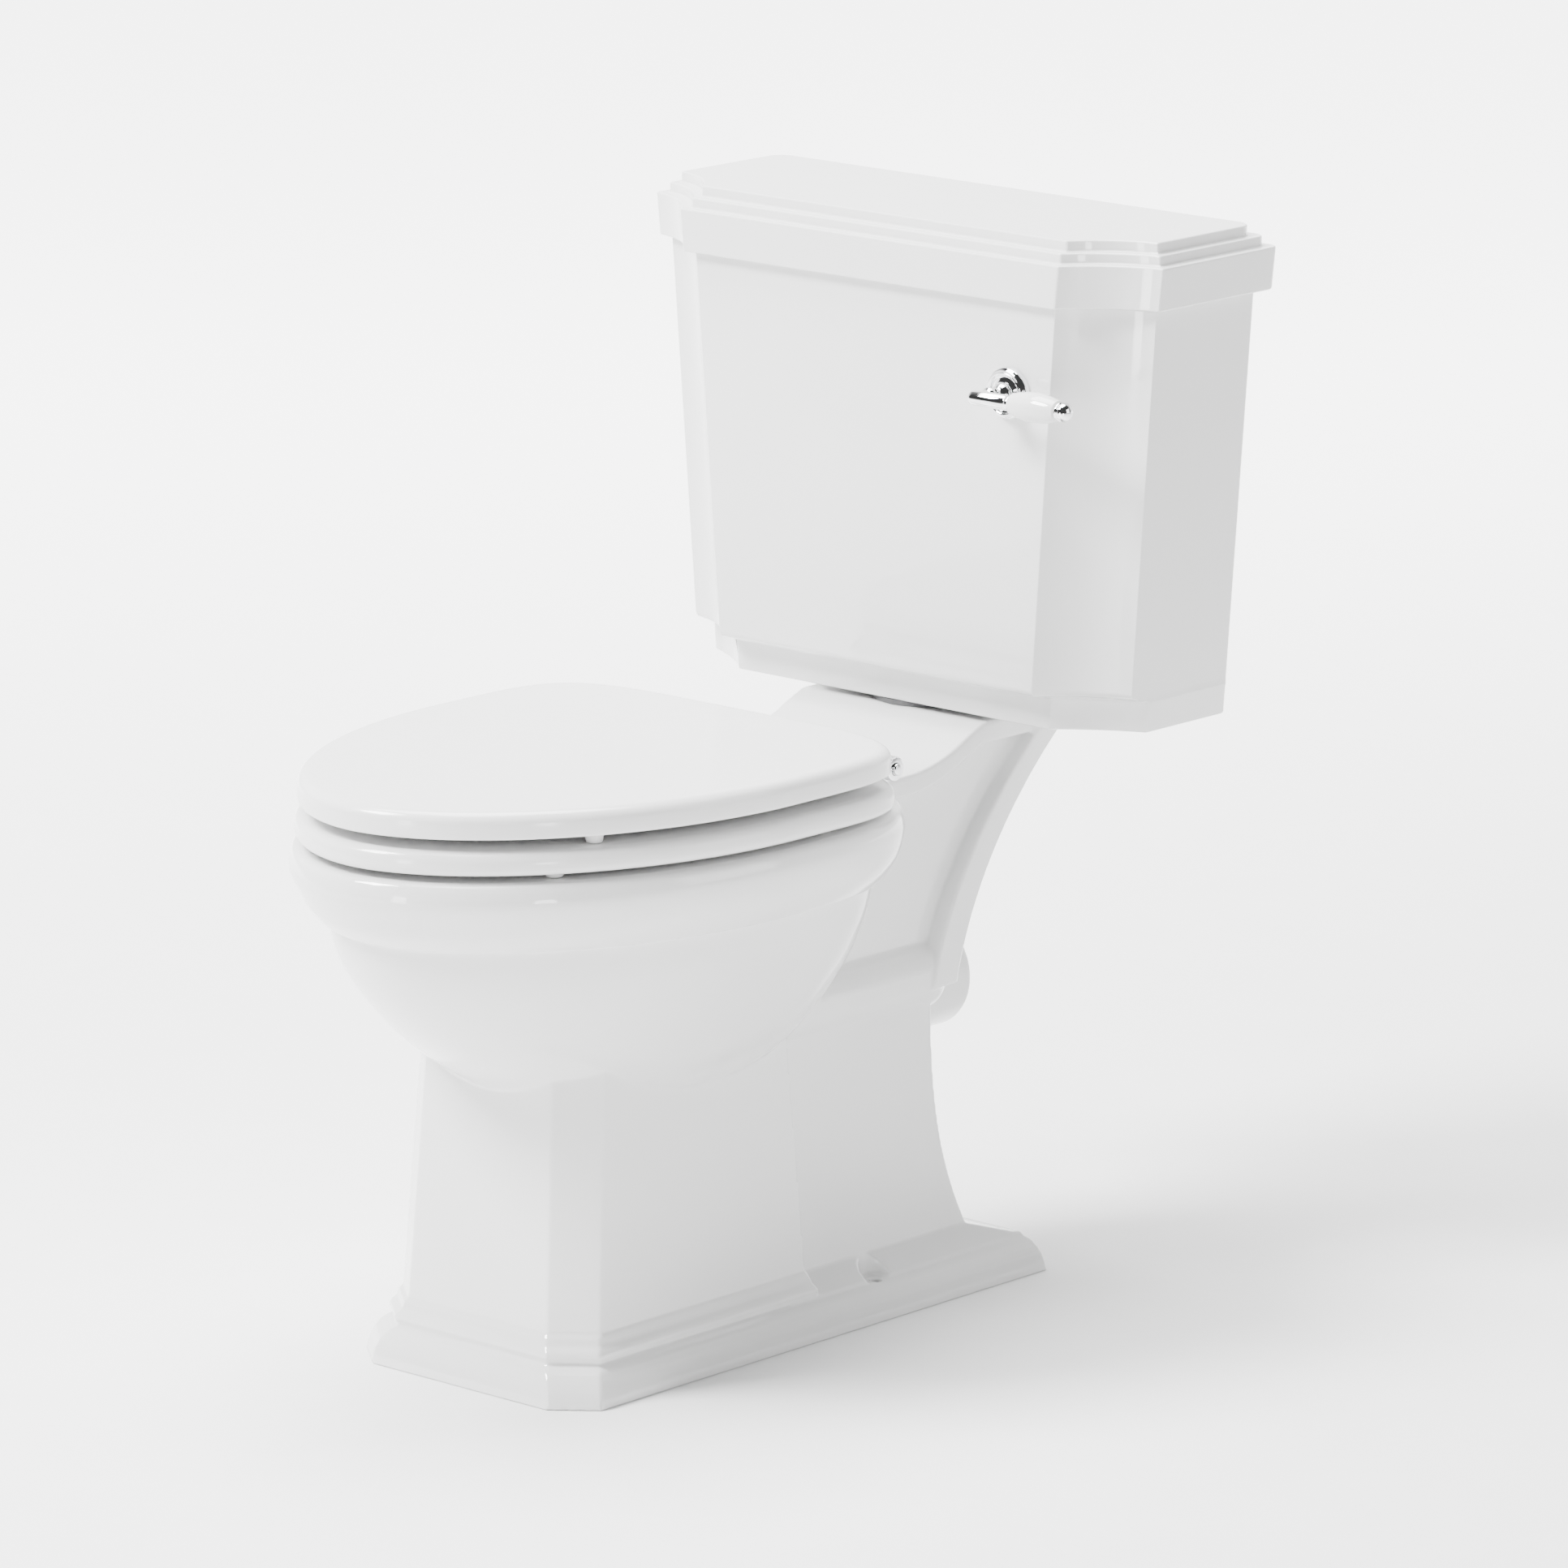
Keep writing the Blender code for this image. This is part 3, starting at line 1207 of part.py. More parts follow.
def build_fill_valve():
    x = VALVE_X
    tail_z = TANK_Z - VALVE_TAIL
    stem = rod("valve", (x, VALVE_Y, tail_z), (x, VALVE_Y, PIVOT_Z), VALVE_RADIUS)
    flange_low = (x, VALVE_Y, FLOOR_TOP_Z + GAP)
    flange = rod("flange", flange_low, (x, VALVE_Y, FLOOR_TOP_Z + 0.006), VALVE_RADIUS + 0.006)
    head_low = (x, VALVE_Y, PIVOT_Z - 0.016)
    head = rod("head", head_low, (x, VALVE_Y, PIVOT_Z + 0.018), VALVE_HEAD_RADIUS, 24)
    join(stem, flange, head, valve_ear(-EAR_OFFSET), valve_ear(EAR_OFFSET))
    pin_hole = rod("pin_hole", pivot_point(-0.020), pivot_point(0.020), PIN_RADIUS + GAP, 12)
    water_end = (x, VALVE_Y, PIVOT_Z - 0.004)
    water = rod("water", (x, VALVE_Y, tail_z - 0.01), water_end, VALVE_RADIUS * 0.6, 16)
    cut(stem, pin_hole, water)
    smooth(finish(stem, "fill_valve", "white_plastic"))
    pin = rod("pin", pivot_point(-0.009), pivot_point(0.009), PIN_RADIUS, 12)
    smooth(finish(pin, "float_pin", "brass"))
    top = TANK_Z - GAP
    nut = rod("nut", (x, VALVE_Y, top - 0.010), (x, VALVE_Y, top), 0.0165, 8)
    hole = rod("hole", (x, VALVE_Y, top - 0.03), (x, VALVE_Y, top + 0.03), VALVE_RADIUS + GAP)
    finish(cut(nut, hole), "valve_nut", "white_plastic")


def build_float():
    """The arm and its float, hanging as they do in an empty cistern."""
    pivot = pivot_point()
    turn = math.radians(FLOAT_REST_DEG)
    along = Vector((math.cos(turn), 0.0, -math.sin(turn)))
    center = Vector(pivot) + along * ARM_LENGTH
    eye_half = EAR_OFFSET - EAR_HALF - GAP * 2
    eye = rod("arm", pivot_point(-eye_half), pivot_point(eye_half), PIN_RADIUS + ARM_RADIUS + 0.0009, 16)
    arm_end = center - along * (FLOAT_RADIUS + GAP)
    arm = rod("arm_rod", Vector(pivot) + along * 0.0035, arm_end, ARM_RADIUS, 12)
    bore = rod("bore", pivot_point(-0.020), pivot_point(0.020), PIN_RADIUS + RUNNING, 12)
    arm = cut(join(eye, arm), bore)
    float_ball = ball("float", center, FLOAT_RADIUS)
    for piece, name, material in ((arm, "float_arm", "brass"), (float_ball, "float_ball", "float_plastic")):
        smooth(set_origin(finish(piece, name, material), pivot))


def remove_helpers():
    """Every cutter here has been applied, so none is left."""
    for obj in list(CUTTERS.objects):
        bpy.data.objects.remove(obj, do_unlink=True)


def main():
    build_pan()
    build_tank()
    build_lid()
    build_ring()
    build_cover()
    build_buffers()
    build_hinge()
    build_rosette()
    build_lever()
    build_siphon()
    build_siphon_rod()
    build_siphon_seals()
    build_coupling()
    build_fill_valve()
    build_float()
    remove_helpers()


main()
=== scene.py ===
"""Looks of the close coupled toilet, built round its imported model."""

import math

import bmesh
import bpy
from mathutils import Matrix, Vector


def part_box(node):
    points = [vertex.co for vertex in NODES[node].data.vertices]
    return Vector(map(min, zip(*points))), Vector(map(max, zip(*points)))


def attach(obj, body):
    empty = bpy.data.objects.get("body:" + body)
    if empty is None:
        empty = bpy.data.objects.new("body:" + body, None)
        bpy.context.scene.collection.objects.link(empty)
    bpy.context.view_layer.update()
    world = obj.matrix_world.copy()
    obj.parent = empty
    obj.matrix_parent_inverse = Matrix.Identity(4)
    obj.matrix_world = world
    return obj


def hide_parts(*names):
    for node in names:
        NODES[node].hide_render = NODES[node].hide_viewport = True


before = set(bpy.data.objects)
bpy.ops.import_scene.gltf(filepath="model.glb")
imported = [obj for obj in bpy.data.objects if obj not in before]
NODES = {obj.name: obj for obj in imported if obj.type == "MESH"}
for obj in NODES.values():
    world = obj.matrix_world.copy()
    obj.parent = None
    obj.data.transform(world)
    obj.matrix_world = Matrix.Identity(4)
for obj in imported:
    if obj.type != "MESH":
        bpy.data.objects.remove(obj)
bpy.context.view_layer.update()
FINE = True

CLEARANCE = 0.0003  # between pieces that touch
EGG_SIDES = 192 if FINE else 112
ROUND = 72 if FINE else 40
VOXEL = 0.0015 if FINE else 0.0026
PAN_TRIANGLES = 175000
CORNER_STEPS = 8

# Pan
DECK_Z = 0.393
PLATFORM_Z = 0.418
RIM_HALF_WIDTH = 0.1836
RIM_FRONT = -0.3586
RIM_REAR = 0.106
RIM_MIDDLE = -0.090
RIM_DEPTH = 0.053
RIM_LIP = 0.018
BOWL_WALL = 0.013
FRONT_POWER = 1.90
REAR_POWER = 3.0
BASE_HALF_WIDTH = 0.1155
BASE_FRONT = -0.246
BASE_BACK = 0.260
CHAMFER_X = 0.029
CHAMFER_Y = 0.024
SHAFT_INSET = 0.0175
SHAFT_TAPER = 0.0080
SHAFT_TOP_Z = 0.236
SHAFT_BACK = 0.016
REAR_BLOCK_HALF = 0.086
REAR_BLOCK_BACK = 0.1625
REAR_BLOCK_TOP_Z = 0.230
MOULDING_TOP_Z = 0.046
FOOT_TOP_Z = 0.042
NECK_HALF = 0.079
BAND_HALF = 0.0895
BAND_DEPTH = 0.016
RIB_HALF = 0.0925
RIB_WIDTH = 0.027
PLATFORM_FRONT = 0.217
PLATFORM_BACK = 0.306
RAMP_FOOT = 0.124
TRAP_HALF = 0.090
TRAP_BOTTOM_Z = 0.209
TRAP_TOP_Z = 0.264
TRAP_BACK = 0.188
OUTLET_Z = 0.2105
OUTLET_RADIUS = 0.042
OUTLET_BORE = 0.034
OUTLET_END = 0.2585
SCREW_X = 0.0995
SCREW_Y = 0.087
SCREW_SEAT_Z = 0.0265
SCREW_RECESS_RADIUS = 0.013
SCREW_HOLE_RADIUS = 0.0040
SIPHON_Y = 0.262
INLET_RADIUS = 0.034

# Cistern and lid
TANK_Z = 0.422
TANK_HEIGHT = 0.3155
TANK_HALF_TOP = 0.235
TANK_HALF_BOTTOM = 0.211
TANK_FRONT_TOP = 0.1931
TANK_FRONT_BOTTOM = 0.195
TANK_BACK = 0.3455
TANK_WALL = 0.011
TANK_FLOOR = 0.013
SCOOP_X = 0.061
SCOOP_Y = 0.040
SCOOP_SAG = 0.007
BACK_CORNER = 0.006
PLINTH_HEIGHT = 0.0275
PLINTH_SETBACK = 0.0205
PLINTH_CUT_X = 0.059
PLINTH_CUT_Y = 0.039
PLINTH_CUT_SAG = 0.003
TANK_TOP_Z = TANK_Z + TANK_HEIGHT
LID_Z = TANK_TOP_Z + CLEARANCE
LID_BACK = 0.3586
LID_OVERHANG_X = 0.0071
LID_OVERHANG_FRONT = 0.0077
SKIRT_HEIGHT = 0.032
SKIRT_FLARE = 0.0035
TIER_HEIGHT = 0.0075

# Seat
HINGE_Y = 0.080
HINGE_Z = 0.412
RING_Z = 0.3977
RING_THICKNESS = 0.0175
COVER_Z = 0.4220
COVER_THICKNESS = 0.0205
SEAT_HALF_WIDTH = 0.1785
SEAT_FRONT = -0.3510
SEAT_REAR = 0.0575
SEAT_REAR_POWER = 5.0
SEAT_MIDDLE = (0.0, -0.130)
RING_OVERHANG = 0.0025
GAP_GAIN = 0.0014  # how far the cover's underside is raised over the ring
POST_X = 0.0775
HINGE_BAR_RADIUS = 0.0045
LEAF_THICKNESS = 0.0025

# Lever
LEVER_X = 0.132
LEVER_Z = 0.671
LEVER_FACE_Y = 0.1935
LEVER_BORE_RADIUS = 0.0083
BAR_Y = 0.1615

# Camera
CAMERA_PLACE = (4.4767, -4.8498, 1.9442)
CAMERA_TARGET = (0.0, 0.0976, 0.3786)
CAMERA_LENS = 216.8
CAMERA_SENSOR = 36.0


# Materials

def nodes_of(name, metallic=0.0):
    material = bpy.data.materials.new(name)
    material.use_nodes = True
    tree = material.node_tree
    shader = tree.nodes["Principled BSDF"]
    shader.inputs["Metallic"].default_value = metallic
    coords = tree.nodes.new("ShaderNodeTexCoord")
    return material, tree, shader, coords


def noise(tree, coords, scale, detail=3.0, stretch=None):
    texture = tree.nodes.new("ShaderNodeTexNoise")
    texture.inputs["Scale"].default_value = scale
    texture.inputs["Detail"].default_value = detail
    source = coords.outputs["Object"]
    if stretch:
        mapping = tree.nodes.new("ShaderNodeMapping")
        mapping.inputs["Scale"].default_value = stretch
        tree.links.new(source, mapping.inputs["Vector"])
        source = mapping.outputs["Vector"]
    tree.links.new(source, texture.inputs["Vector"])
    return texture


def spread(tree, texture, low, high, output="Fac"):
    """Maps a texture's middle range to the range low to high."""
    node = tree.nodes.new("ShaderNodeMapRange")
    node.inputs["From Min"].default_value = 0.3
    node.inputs["From Max"].default_value = 0.7
    node.inputs["To Min"].default_value = low
    node.inputs["To Max"].default_value = high
    tree.links.new(texture.outputs[output], node.inputs["Value"])
    return node.outputs["Result"]


def tint(tree, texture, first, second):
    mix = tree.nodes.new("ShaderNodeMix")
    mix.data_type = "RGBA"
    mix.inputs[6].default_value = (*first, 1.0)
    mix.inputs[7].default_value = (*second, 1.0)
    tree.links.new(spread(tree, texture, 0.0, 1.0), mix.inputs[0])
    return mix.outputs[2]


def bump(tree, shader, texture, strength, distance):
    node = tree.nodes.new("ShaderNodeBump")
    node.inputs["Strength"].default_value = strength
    node.inputs["Distance"].default_value = distance
    tree.links.new(texture.outputs["Fac"], node.inputs["Height"])
    tree.links.new(node.outputs["Normal"], shader.inputs["Normal"])


def surface(name, first, second, rough, grain, wave, metallic=0.0, coat=0.0, tint_scale=14.0, stretch=None):
    """A material with a slight drift in colour and gloss and a fine relief.

    rough is its lowest and highest roughness, grain the scale of the gloss drift,
    and wave the scale, strength and depth of the relief."""
    material, tree, shader, coords = nodes_of(name, metallic)
    tree.links.new(tint(tree, noise(tree, coords, tint_scale), first, second), shader.inputs["Base Color"])
    tree.links.new(spread(tree, noise(tree, coords, grain, 4.0, stretch), *rough), shader.inputs["Roughness"])
    scale, strength, depth = wave
    bump(tree, shader, noise(tree, coords, scale, 2.0, stretch), strength, depth)
    shader.inputs["Coat Weight"].default_value = coat
    shader.inputs["Coat Roughness"].default_value = 0.03
    return material


def glaze():
    """Vitreous china under a clear glaze: faint waviness and a trace of warmth."""
    material = surface("glaze", (0.735, 0.737, 0.735), (0.755, 0.756, 0.753), (0.045, 0.085), 30.0,
                       (34.0, 0.10, 0.0010), coat=0.35, tint_scale=6.0)
    material.node_tree.nodes["Principled BSDF"].inputs["IOR"].default_value = 1.52
    return material


def lacquer():
    return surface("seat_lacquer", (0.75, 0.75, 0.748), (0.77, 0.77, 0.768), (0.13, 0.20), 24.0,
                   (90.0, 0.12, 0.0006), coat=0.25, tint_scale=5.0)


def chrome():
    return surface("chrome", (0.86, 0.865, 0.875), (0.90, 0.905, 0.91), (0.025, 0.07), 160.0,
                   (420.0, 0.05, 0.0002), metallic=1.0)


def brass():
    return surface("brass", (0.72, 0.52, 0.22), (0.80, 0.62, 0.32), (0.20, 0.38), 120.0,
                   (380.0, 0.15, 0.0003), metallic=1.0, tint_scale=40.0)


def white_plastic():
    return surface("white_plastic", (0.80, 0.80, 0.79), (0.85, 0.85, 0.845), (0.32, 0.46), 90.0,
                   (700.0, 0.18, 0.0002), tint_scale=20.0)


def rubber():
    return surface("grey_rubber", (0.075, 0.075, 0.078), (0.11, 0.11, 0.112), (0.68, 0.85), 90.0,
                   (800.0, 0.3, 0.0003), tint_scale=30.0)


def float_plastic():
    return surface("float_plastic", (0.70, 0.27, 0.08), (0.78, 0.33, 0.11), (0.36, 0.5), 60.0,
                   (500.0, 0.2, 0.0003), tint_scale=18.0)


GLAZE = glaze()
LACQUER = lacquer()
CHROME = chrome()
BRASS = brass()
PLASTIC = white_plastic()
RUBBER = rubber()
FLOAT_PLASTIC = float_plastic()


# Shapes

def mesh_object(name, bm):
    bmesh.ops.recalc_face_normals(bm, faces=bm.faces)
    mesh = bpy.data.meshes.new(name)
    bm.to_mesh(mesh)
    bm.free()
    obj = bpy.data.objects.new(name, mesh)
    bpy.context.scene.collection.objects.link(obj)
    return obj


def skin(name, rings, close=True, cyclic=False):
    """A skin over rings of equal point counts, capped at both ends, or joined end to start."""
    bm = bmesh.new()
    rows = [[bm.verts.new(point) for point in ring] for ring in rings]
    pairs = list(zip(rows, rows[1:]))
    if cyclic:
        pairs.append((rows[-1], rows[0]))
    for lower, upper in pairs:
        count = len(lower)
        for i in range(count):
            j = (i + 1) % count
            bm.faces.new((lower[i], lower[j], upper[j], upper[i]))
    if close and not cyclic:
        bm.faces.new(list(reversed(rows[0])))
        bm.faces.new(rows[-1])
    return mesh_object(name, bm)


def loft(name, sections):
    return skin(name, [[(x, y, z) for x, y in outline] for outline, z in sections])


def box(name, low, high, bevel=0.0, segments=3):
    bm = bmesh.new()
    bmesh.ops.create_cube(bm, size=1.0)
    low = Vector(low)
    high = Vector(high)
    bmesh.ops.scale(bm, vec=high - low, verts=bm.verts)
    bmesh.ops.translate(bm, vec=(low + high) / 2, verts=bm.verts)
    obj = mesh_object(name, bm)
    if bevel:
        round_edges(obj, bevel, segments)
    return obj


def rod(name, start, end, radius, sides=None, bevel=0.0):
    start = Vector(start)
    end = Vector(end)
    turn = (end - start).to_track_quat("Z", "Y").to_matrix().to_4x4()
    bm = bmesh.new()
    bmesh.ops.create_cone(bm, cap_ends=True, segments=sides or ROUND, radius1=radius, radius2=radius,
                          depth=(end - start).length, matrix=Matrix.Translation((start + end) / 2) @ turn)
    obj = mesh_object(name, bm)
    if bevel:
        round_edges(obj, bevel, 3)
    return obj


def turned(name, profile, center, axis=(0, 0, 1), sides=None):
    """A turned piece. The profile's points are (radius, height); a radius of 0 closes it on its axis."""
    sides = sides or ROUND
    turn = Vector(axis).to_track_quat("Z", "Y").to_matrix()
    center = Vector(center)
    bm = bmesh.new()
    rows = []
    for radius, height in profile:
        if radius < 1e-7:
            rows.append([bm.verts.new(center + turn @ Vector((0, 0, height)))])
            continue
        angles = [2 * math.pi * i / sides for i in range(sides)]
        rows.append([
            bm.verts.new(center + turn @ Vector((radius * math.cos(angle), radius * math.sin(angle), height)))
            for angle in angles
        ])
    pairs = list(zip(rows, rows[1:]))
    if len(rows[0]) > 1 and len(rows[-1]) > 1:
        pairs.append((rows[-1], rows[0]))
    for first, second in pairs:
        for i in range(sides):
            j = (i + 1) % sides
            if len(first) == 1:
                bm.faces.new((first[0], second[i], second[j]))
            elif len(second) == 1:
                bm.faces.new((first[i], first[j], second[0]))
            else:
                bm.faces.new((first[i], first[j], second[j], second[i]))
    return mesh_object(name, bm)


def tube(name, points, radius, sides=40):
    """A pipe along points that lie in the plane X = 0, as a closed mesh."""
    rings = []
    for i, point in enumerate(points):
        before = Vector(points[max(i - 1, 0)])
        after = Vector(points[min(i + 1, len(points) - 1)])
        along = (after - before).normalized()
        across = Vector((1.0, 0.0, 0.0))
        up = across.cross(along)
        rings.append([
            Vector(point) + radius * (across * math.cos(turn) + up * math.sin(turn))
            for turn in (2 * math.pi * k / sides for k in range(sides))
        ])
    return skin(name, rings)


def slab(name, outline, half_width):
    """A flat (y, z) outline with the thickness 2 * half_width along X."""
    left = [(-half_width, y, z) for y, z in outline]
    right = [(half_width, y, z) for y, z in outline]
    return skin(name, [left, right])


def apply_modifiers(obj):
    bpy.context.view_layer.update()
    graph = bpy.context.evaluated_depsgraph_get()
    mesh = bpy.data.meshes.new_from_object(obj.evaluated_get(graph))
    obj.modifiers.clear()
    obj.data = mesh
    return obj


def round_edges(obj, width, segments=3, angle=30.0, harden=False):
    bevel = obj.modifiers.new("round", "BEVEL")
    bevel.width = width
    bevel.segments = segments
    bevel.limit_method = "ANGLE"
    bevel.angle_limit = math.radians(angle)
    if harden:
        obj.data.shade_smooth()
        bevel.harden_normals = True
    return apply_modifiers(obj)


def combine(target, others, operation):
    for other in others:
        modifier = target.modifiers.new("cut", "BOOLEAN")
        modifier.operation = operation
        modifier.solver = "MANIFOLD"
        modifier.object = other
        apply_modifiers(target)
        bpy.data.objects.remove(other, do_unlink=True)
    return target


def join(target, *others):
    return combine(target, others, "UNION")


def cut(target, *others):
    return combine(target, others, "DIFFERENCE")


def mirrored(obj, name):
    bm = bmesh.new()
    bm.from_mesh(obj.data)
    bmesh.ops.scale(bm, vec=(-1.0, 1.0, 1.0), verts=bm.verts)
    bmesh.ops.reverse_faces(bm, faces=bm.faces)
    return mesh_object(name, bm)


def both_sides(obj):
    return obj, mirrored(obj, obj.name + "_left")


def dress(obj, name, material, body, node, smooth_angle=None):
    """Names a finished piece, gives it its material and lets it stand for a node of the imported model."""
    obj.name = name
    obj.data.materials.clear()
    obj.data.materials.append(material)
    if smooth_angle is not None:
        obj.data.shade_smooth()
        obj.data.set_sharp_from_angle(angle=math.radians(smooth_angle))
    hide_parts(node)
    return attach(obj, body)


# Outlines

def egg(half_width, front, rear, middle=RIM_MIDDLE, front_power=FRONT_POWER, rear_power=REAR_POWER):
    """A closed egg outline, widest at middle, with its own curvature in front and behind."""
    points = []
    for i in range(EGG_SIDES):
        turn = 2 * math.pi * i / EGG_SIDES
        across = math.sin(turn)
        along = -math.cos(turn)
        power, reach = (front_power, middle - front) if along < 0 else (rear_power, rear - middle)
        x = half_width * math.copysign(abs(across) ** (2 / power), across)
        y = middle + reach * math.copysign(abs(along) ** (2 / power), along)
        points.append((x, y))
    return points


def scooped(half_width, front, back, cut_x, cut_y, sag, corner, steps=22):
    """A cistern outline: front corners scooped in by sag, back corners rounded."""
    start = Vector((half_width - cut_x, front))
    end = Vector((half_width, front + cut_y))
    inward = Vector((-cut_y, cut_x)).normalized()
    half = []
    for i in range(steps + 1):
        t = i / steps
        half.append(start.lerp(end, t) + inward * sag * 4 * t * (1 - t))
    for i in range(CORNER_STEPS + 1):
        turn = math.pi / 2 * i / CORNER_STEPS
        x = half_width - corner + corner * math.cos(turn)
        half.append(Vector((x, back - corner + corner * math.sin(turn))))
    right = [(p.x, p.y) for p in half]
    return right + [(-x, y) for x, y in reversed(right)]


def between(first, second, share):
    return [(a[0] + (b[0] - a[0]) * share, a[1] + (b[1] - a[1]) * share) for a, b in zip(first, second)]


def chamfered(half_width, front, back, cut_x=CHAMFER_X, cut_y=CHAMFER_Y):
    right = [(half_width - cut_x, front), (half_width, front + cut_y), (half_width, back)]
    return right + [(-x, y) for x, y in reversed(right)]


def bezier(start, pull_a, pull_b, end, steps):
    points = []
    for i in range(steps + 1):
        t = i / steps
        weights = ((1 - t) ** 3, 3 * t * (1 - t) ** 2, 3 * t * t * (1 - t), t ** 3)
        points.append(tuple(sum(w * k[axis] for w, k in zip(weights, (start, pull_a, pull_b, end)))
                            for axis in (0, 1)))
    return points


def flowing(rows, steps=6):
    """Rows of numbers on a smooth curve through the given rows."""
    out = []
    for i in range(len(rows) - 1):
        a = rows[max(i - 1, 0)]
        b = rows[i]
        c = rows[i + 1]
        d = rows[min(i + 2, len(rows) - 1)]
        for k in range(steps):
            t = k / steps
            out.append(tuple(
                0.5 * (2 * q + (r - p) * t + (2 * p - 5 * q + 4 * r - s) * t * t
                       + (3 * q - p - 3 * r + s) * t ** 3)
                for p, q, r, s in zip(a, b, c, d)
            ))
    out.append(tuple(rows[-1]))
    return out


# Pan

def ramp_line(drop=0.0):
    foot = (RAMP_FOOT, DECK_Z - drop)
    top = (PLATFORM_FRONT, PLATFORM_Z - drop)
    run = PLATFORM_FRONT - RAMP_FOOT
    return bezier(foot, (foot[0] + run * 0.55, foot[1]), (top[0] - run * 0.30, top[1] - 0.009), top, 28)


def back_line(inset=0.0):
    top = (PLATFORM_BACK - inset, PLATFORM_Z - 0.010)
    bottom = (REAR_BLOCK_BACK + 0.022 - inset, TRAP_BOTTOM_Z + 0.020)
    rise = top[1] - bottom[1]
    pull_top = (top[0] - 0.044, top[1] - rise * 0.20)
    pull_bottom = (bottom[0] + 0.019, bottom[1] + rise * 0.464)
    return bezier(top, pull_top, pull_bottom, bottom, 32)


def neck():
    front = -0.020
    low = TRAP_BOTTOM_Z + 0.010
    top_line = [(front, DECK_Z - 0.006)] + ramp_line(0.006)
    panel = slab("panel", [(front, low)] + list(reversed(back_line())) + list(reversed(top_line)), NECK_HALF)
    top = [(front, DECK_Z)] + ramp_line() + [(PLATFORM_BACK, PLATFORM_Z)]
    under = [(PLATFORM_BACK - 0.001, PLATFORM_Z - BAND_DEPTH)] + list(reversed(ramp_line(BAND_DEPTH)))
    band = slab("band", top + under + [(front, DECK_Z - BAND_DEPTH)], BAND_HALF)
    rib = slab("rib", back_line() + list(reversed(back_line(RIB_WIDTH))), RIB_HALF)
    return [panel, band, rib]


def base_step(inset, z):
    return chamfered(BASE_HALF_WIDTH - inset, BASE_FRONT + inset, BASE_BACK - inset), z


def pedestal():
    moulding = loft("moulding", [
        base_step(0.0, 0.0),
        base_step(0.0006, 0.005),
        base_step(0.0022, 0.012),
        base_step(0.0046, 0.018),
        base_step(0.0076, 0.0228),
        base_step(0.0100, 0.0252),
        base_step(0.0122, 0.0262),
        base_step(0.0140, 0.0268),
        base_step(0.0142, 0.0300),
    ])
    step_z = MOULDING_TOP_Z - 0.010
    foot_half = BASE_HALF_WIDTH - SHAFT_INSET
    foot_front = BASE_FRONT + SHAFT_INSET
    collar = loft("collar", [
        (chamfered(foot_half + 0.0035, foot_front - 0.0035, SHAFT_BACK + 0.004), 0.020),
        (chamfered(foot_half + 0.0040, foot_front - 0.0040, SHAFT_BACK + 0.004), step_z - 0.0065),
        (chamfered(foot_half + 0.0058, foot_front - 0.0058, SHAFT_BACK + 0.004), step_z - 0.0035),
        (chamfered(foot_half + 0.0058, foot_front - 0.0058, SHAFT_BACK + 0.004), step_z - 0.0010),
        (chamfered(foot_half + 0.0042, foot_front - 0.0042, SHAFT_BACK + 0.003), step_z + 0.0014),
        (chamfered(foot_half + 0.0016, foot_front - 0.0016, SHAFT_BACK + 0.001), step_z + 0.0042),
        (chamfered(foot_half + 0.0006, foot_front - 0.0006, SHAFT_BACK), MOULDING_TOP_Z),
    ])
    top_half = foot_half - SHAFT_TAPER
    top_front = foot_front + SHAFT_TAPER * 2
    shaft = loft("shaft", [
        (chamfered(foot_half, foot_front, SHAFT_BACK), 0.020),
        (chamfered(top_half, top_front, SHAFT_BACK - SHAFT_TAPER * 2), SHAFT_TOP_Z),
    ])
    foot = loft("foot", [
        (chamfered(BASE_HALF_WIDTH - 0.012, -0.030, BASE_BACK - 0.012), 0.0280),
        (chamfered(REAR_BLOCK_HALF + 0.001, -0.030, REAR_BLOCK_BACK + 0.041), FOOT_TOP_Z),
    ])
    return [moulding, collar, shaft, foot, rear_block()]


def rear_block():
    edge = bezier(
        (REAR_BLOCK_BACK, REAR_BLOCK_TOP_Z),
        (REAR_BLOCK_BACK - 0.001, 0.130),
        (REAR_BLOCK_BACK + 0.016, 0.086),
        (REAR_BLOCK_BACK + 0.040, FOOT_TOP_Z),
        30,
    )
    outline = [(-0.060, 0.022), (-0.060, REAR_BLOCK_TOP_Z)] + edge + [(REAR_BLOCK_BACK + 0.040, 0.022)]
    return slab("rear_block", outline, REAR_BLOCK_HALF)


def rim():
    low = DECK_Z - RIM_DEPTH
    rows = flowing([
        (RIM_HALF_WIDTH - RIM_LIP, RIM_FRONT + RIM_LIP + 0.006, RIM_REAR - 0.008, low),
        (RIM_HALF_WIDTH - 0.009, RIM_FRONT + 0.014, RIM_REAR - 0.005, low + 0.011),
        (RIM_HALF_WIDTH - 0.003, RIM_FRONT + 0.008, RIM_REAR - 0.002, low + 0.022),
        (RIM_HALF_WIDTH, RIM_FRONT, RIM_REAR, low + 0.036),
        (RIM_HALF_WIDTH - 0.0005, RIM_FRONT + 0.001, RIM_REAR - 0.001, DECK_Z - 0.008),
        (RIM_HALF_WIDTH - 0.003, RIM_FRONT + 0.004, RIM_REAR - 0.003, DECK_Z - 0.002),
        (RIM_HALF_WIDTH - 0.008, RIM_FRONT + 0.009, RIM_REAR - 0.007, DECK_Z),
    ], 4)
    return loft("rim", [(egg(half, front, rear), z) for half, front, rear, z in rows])


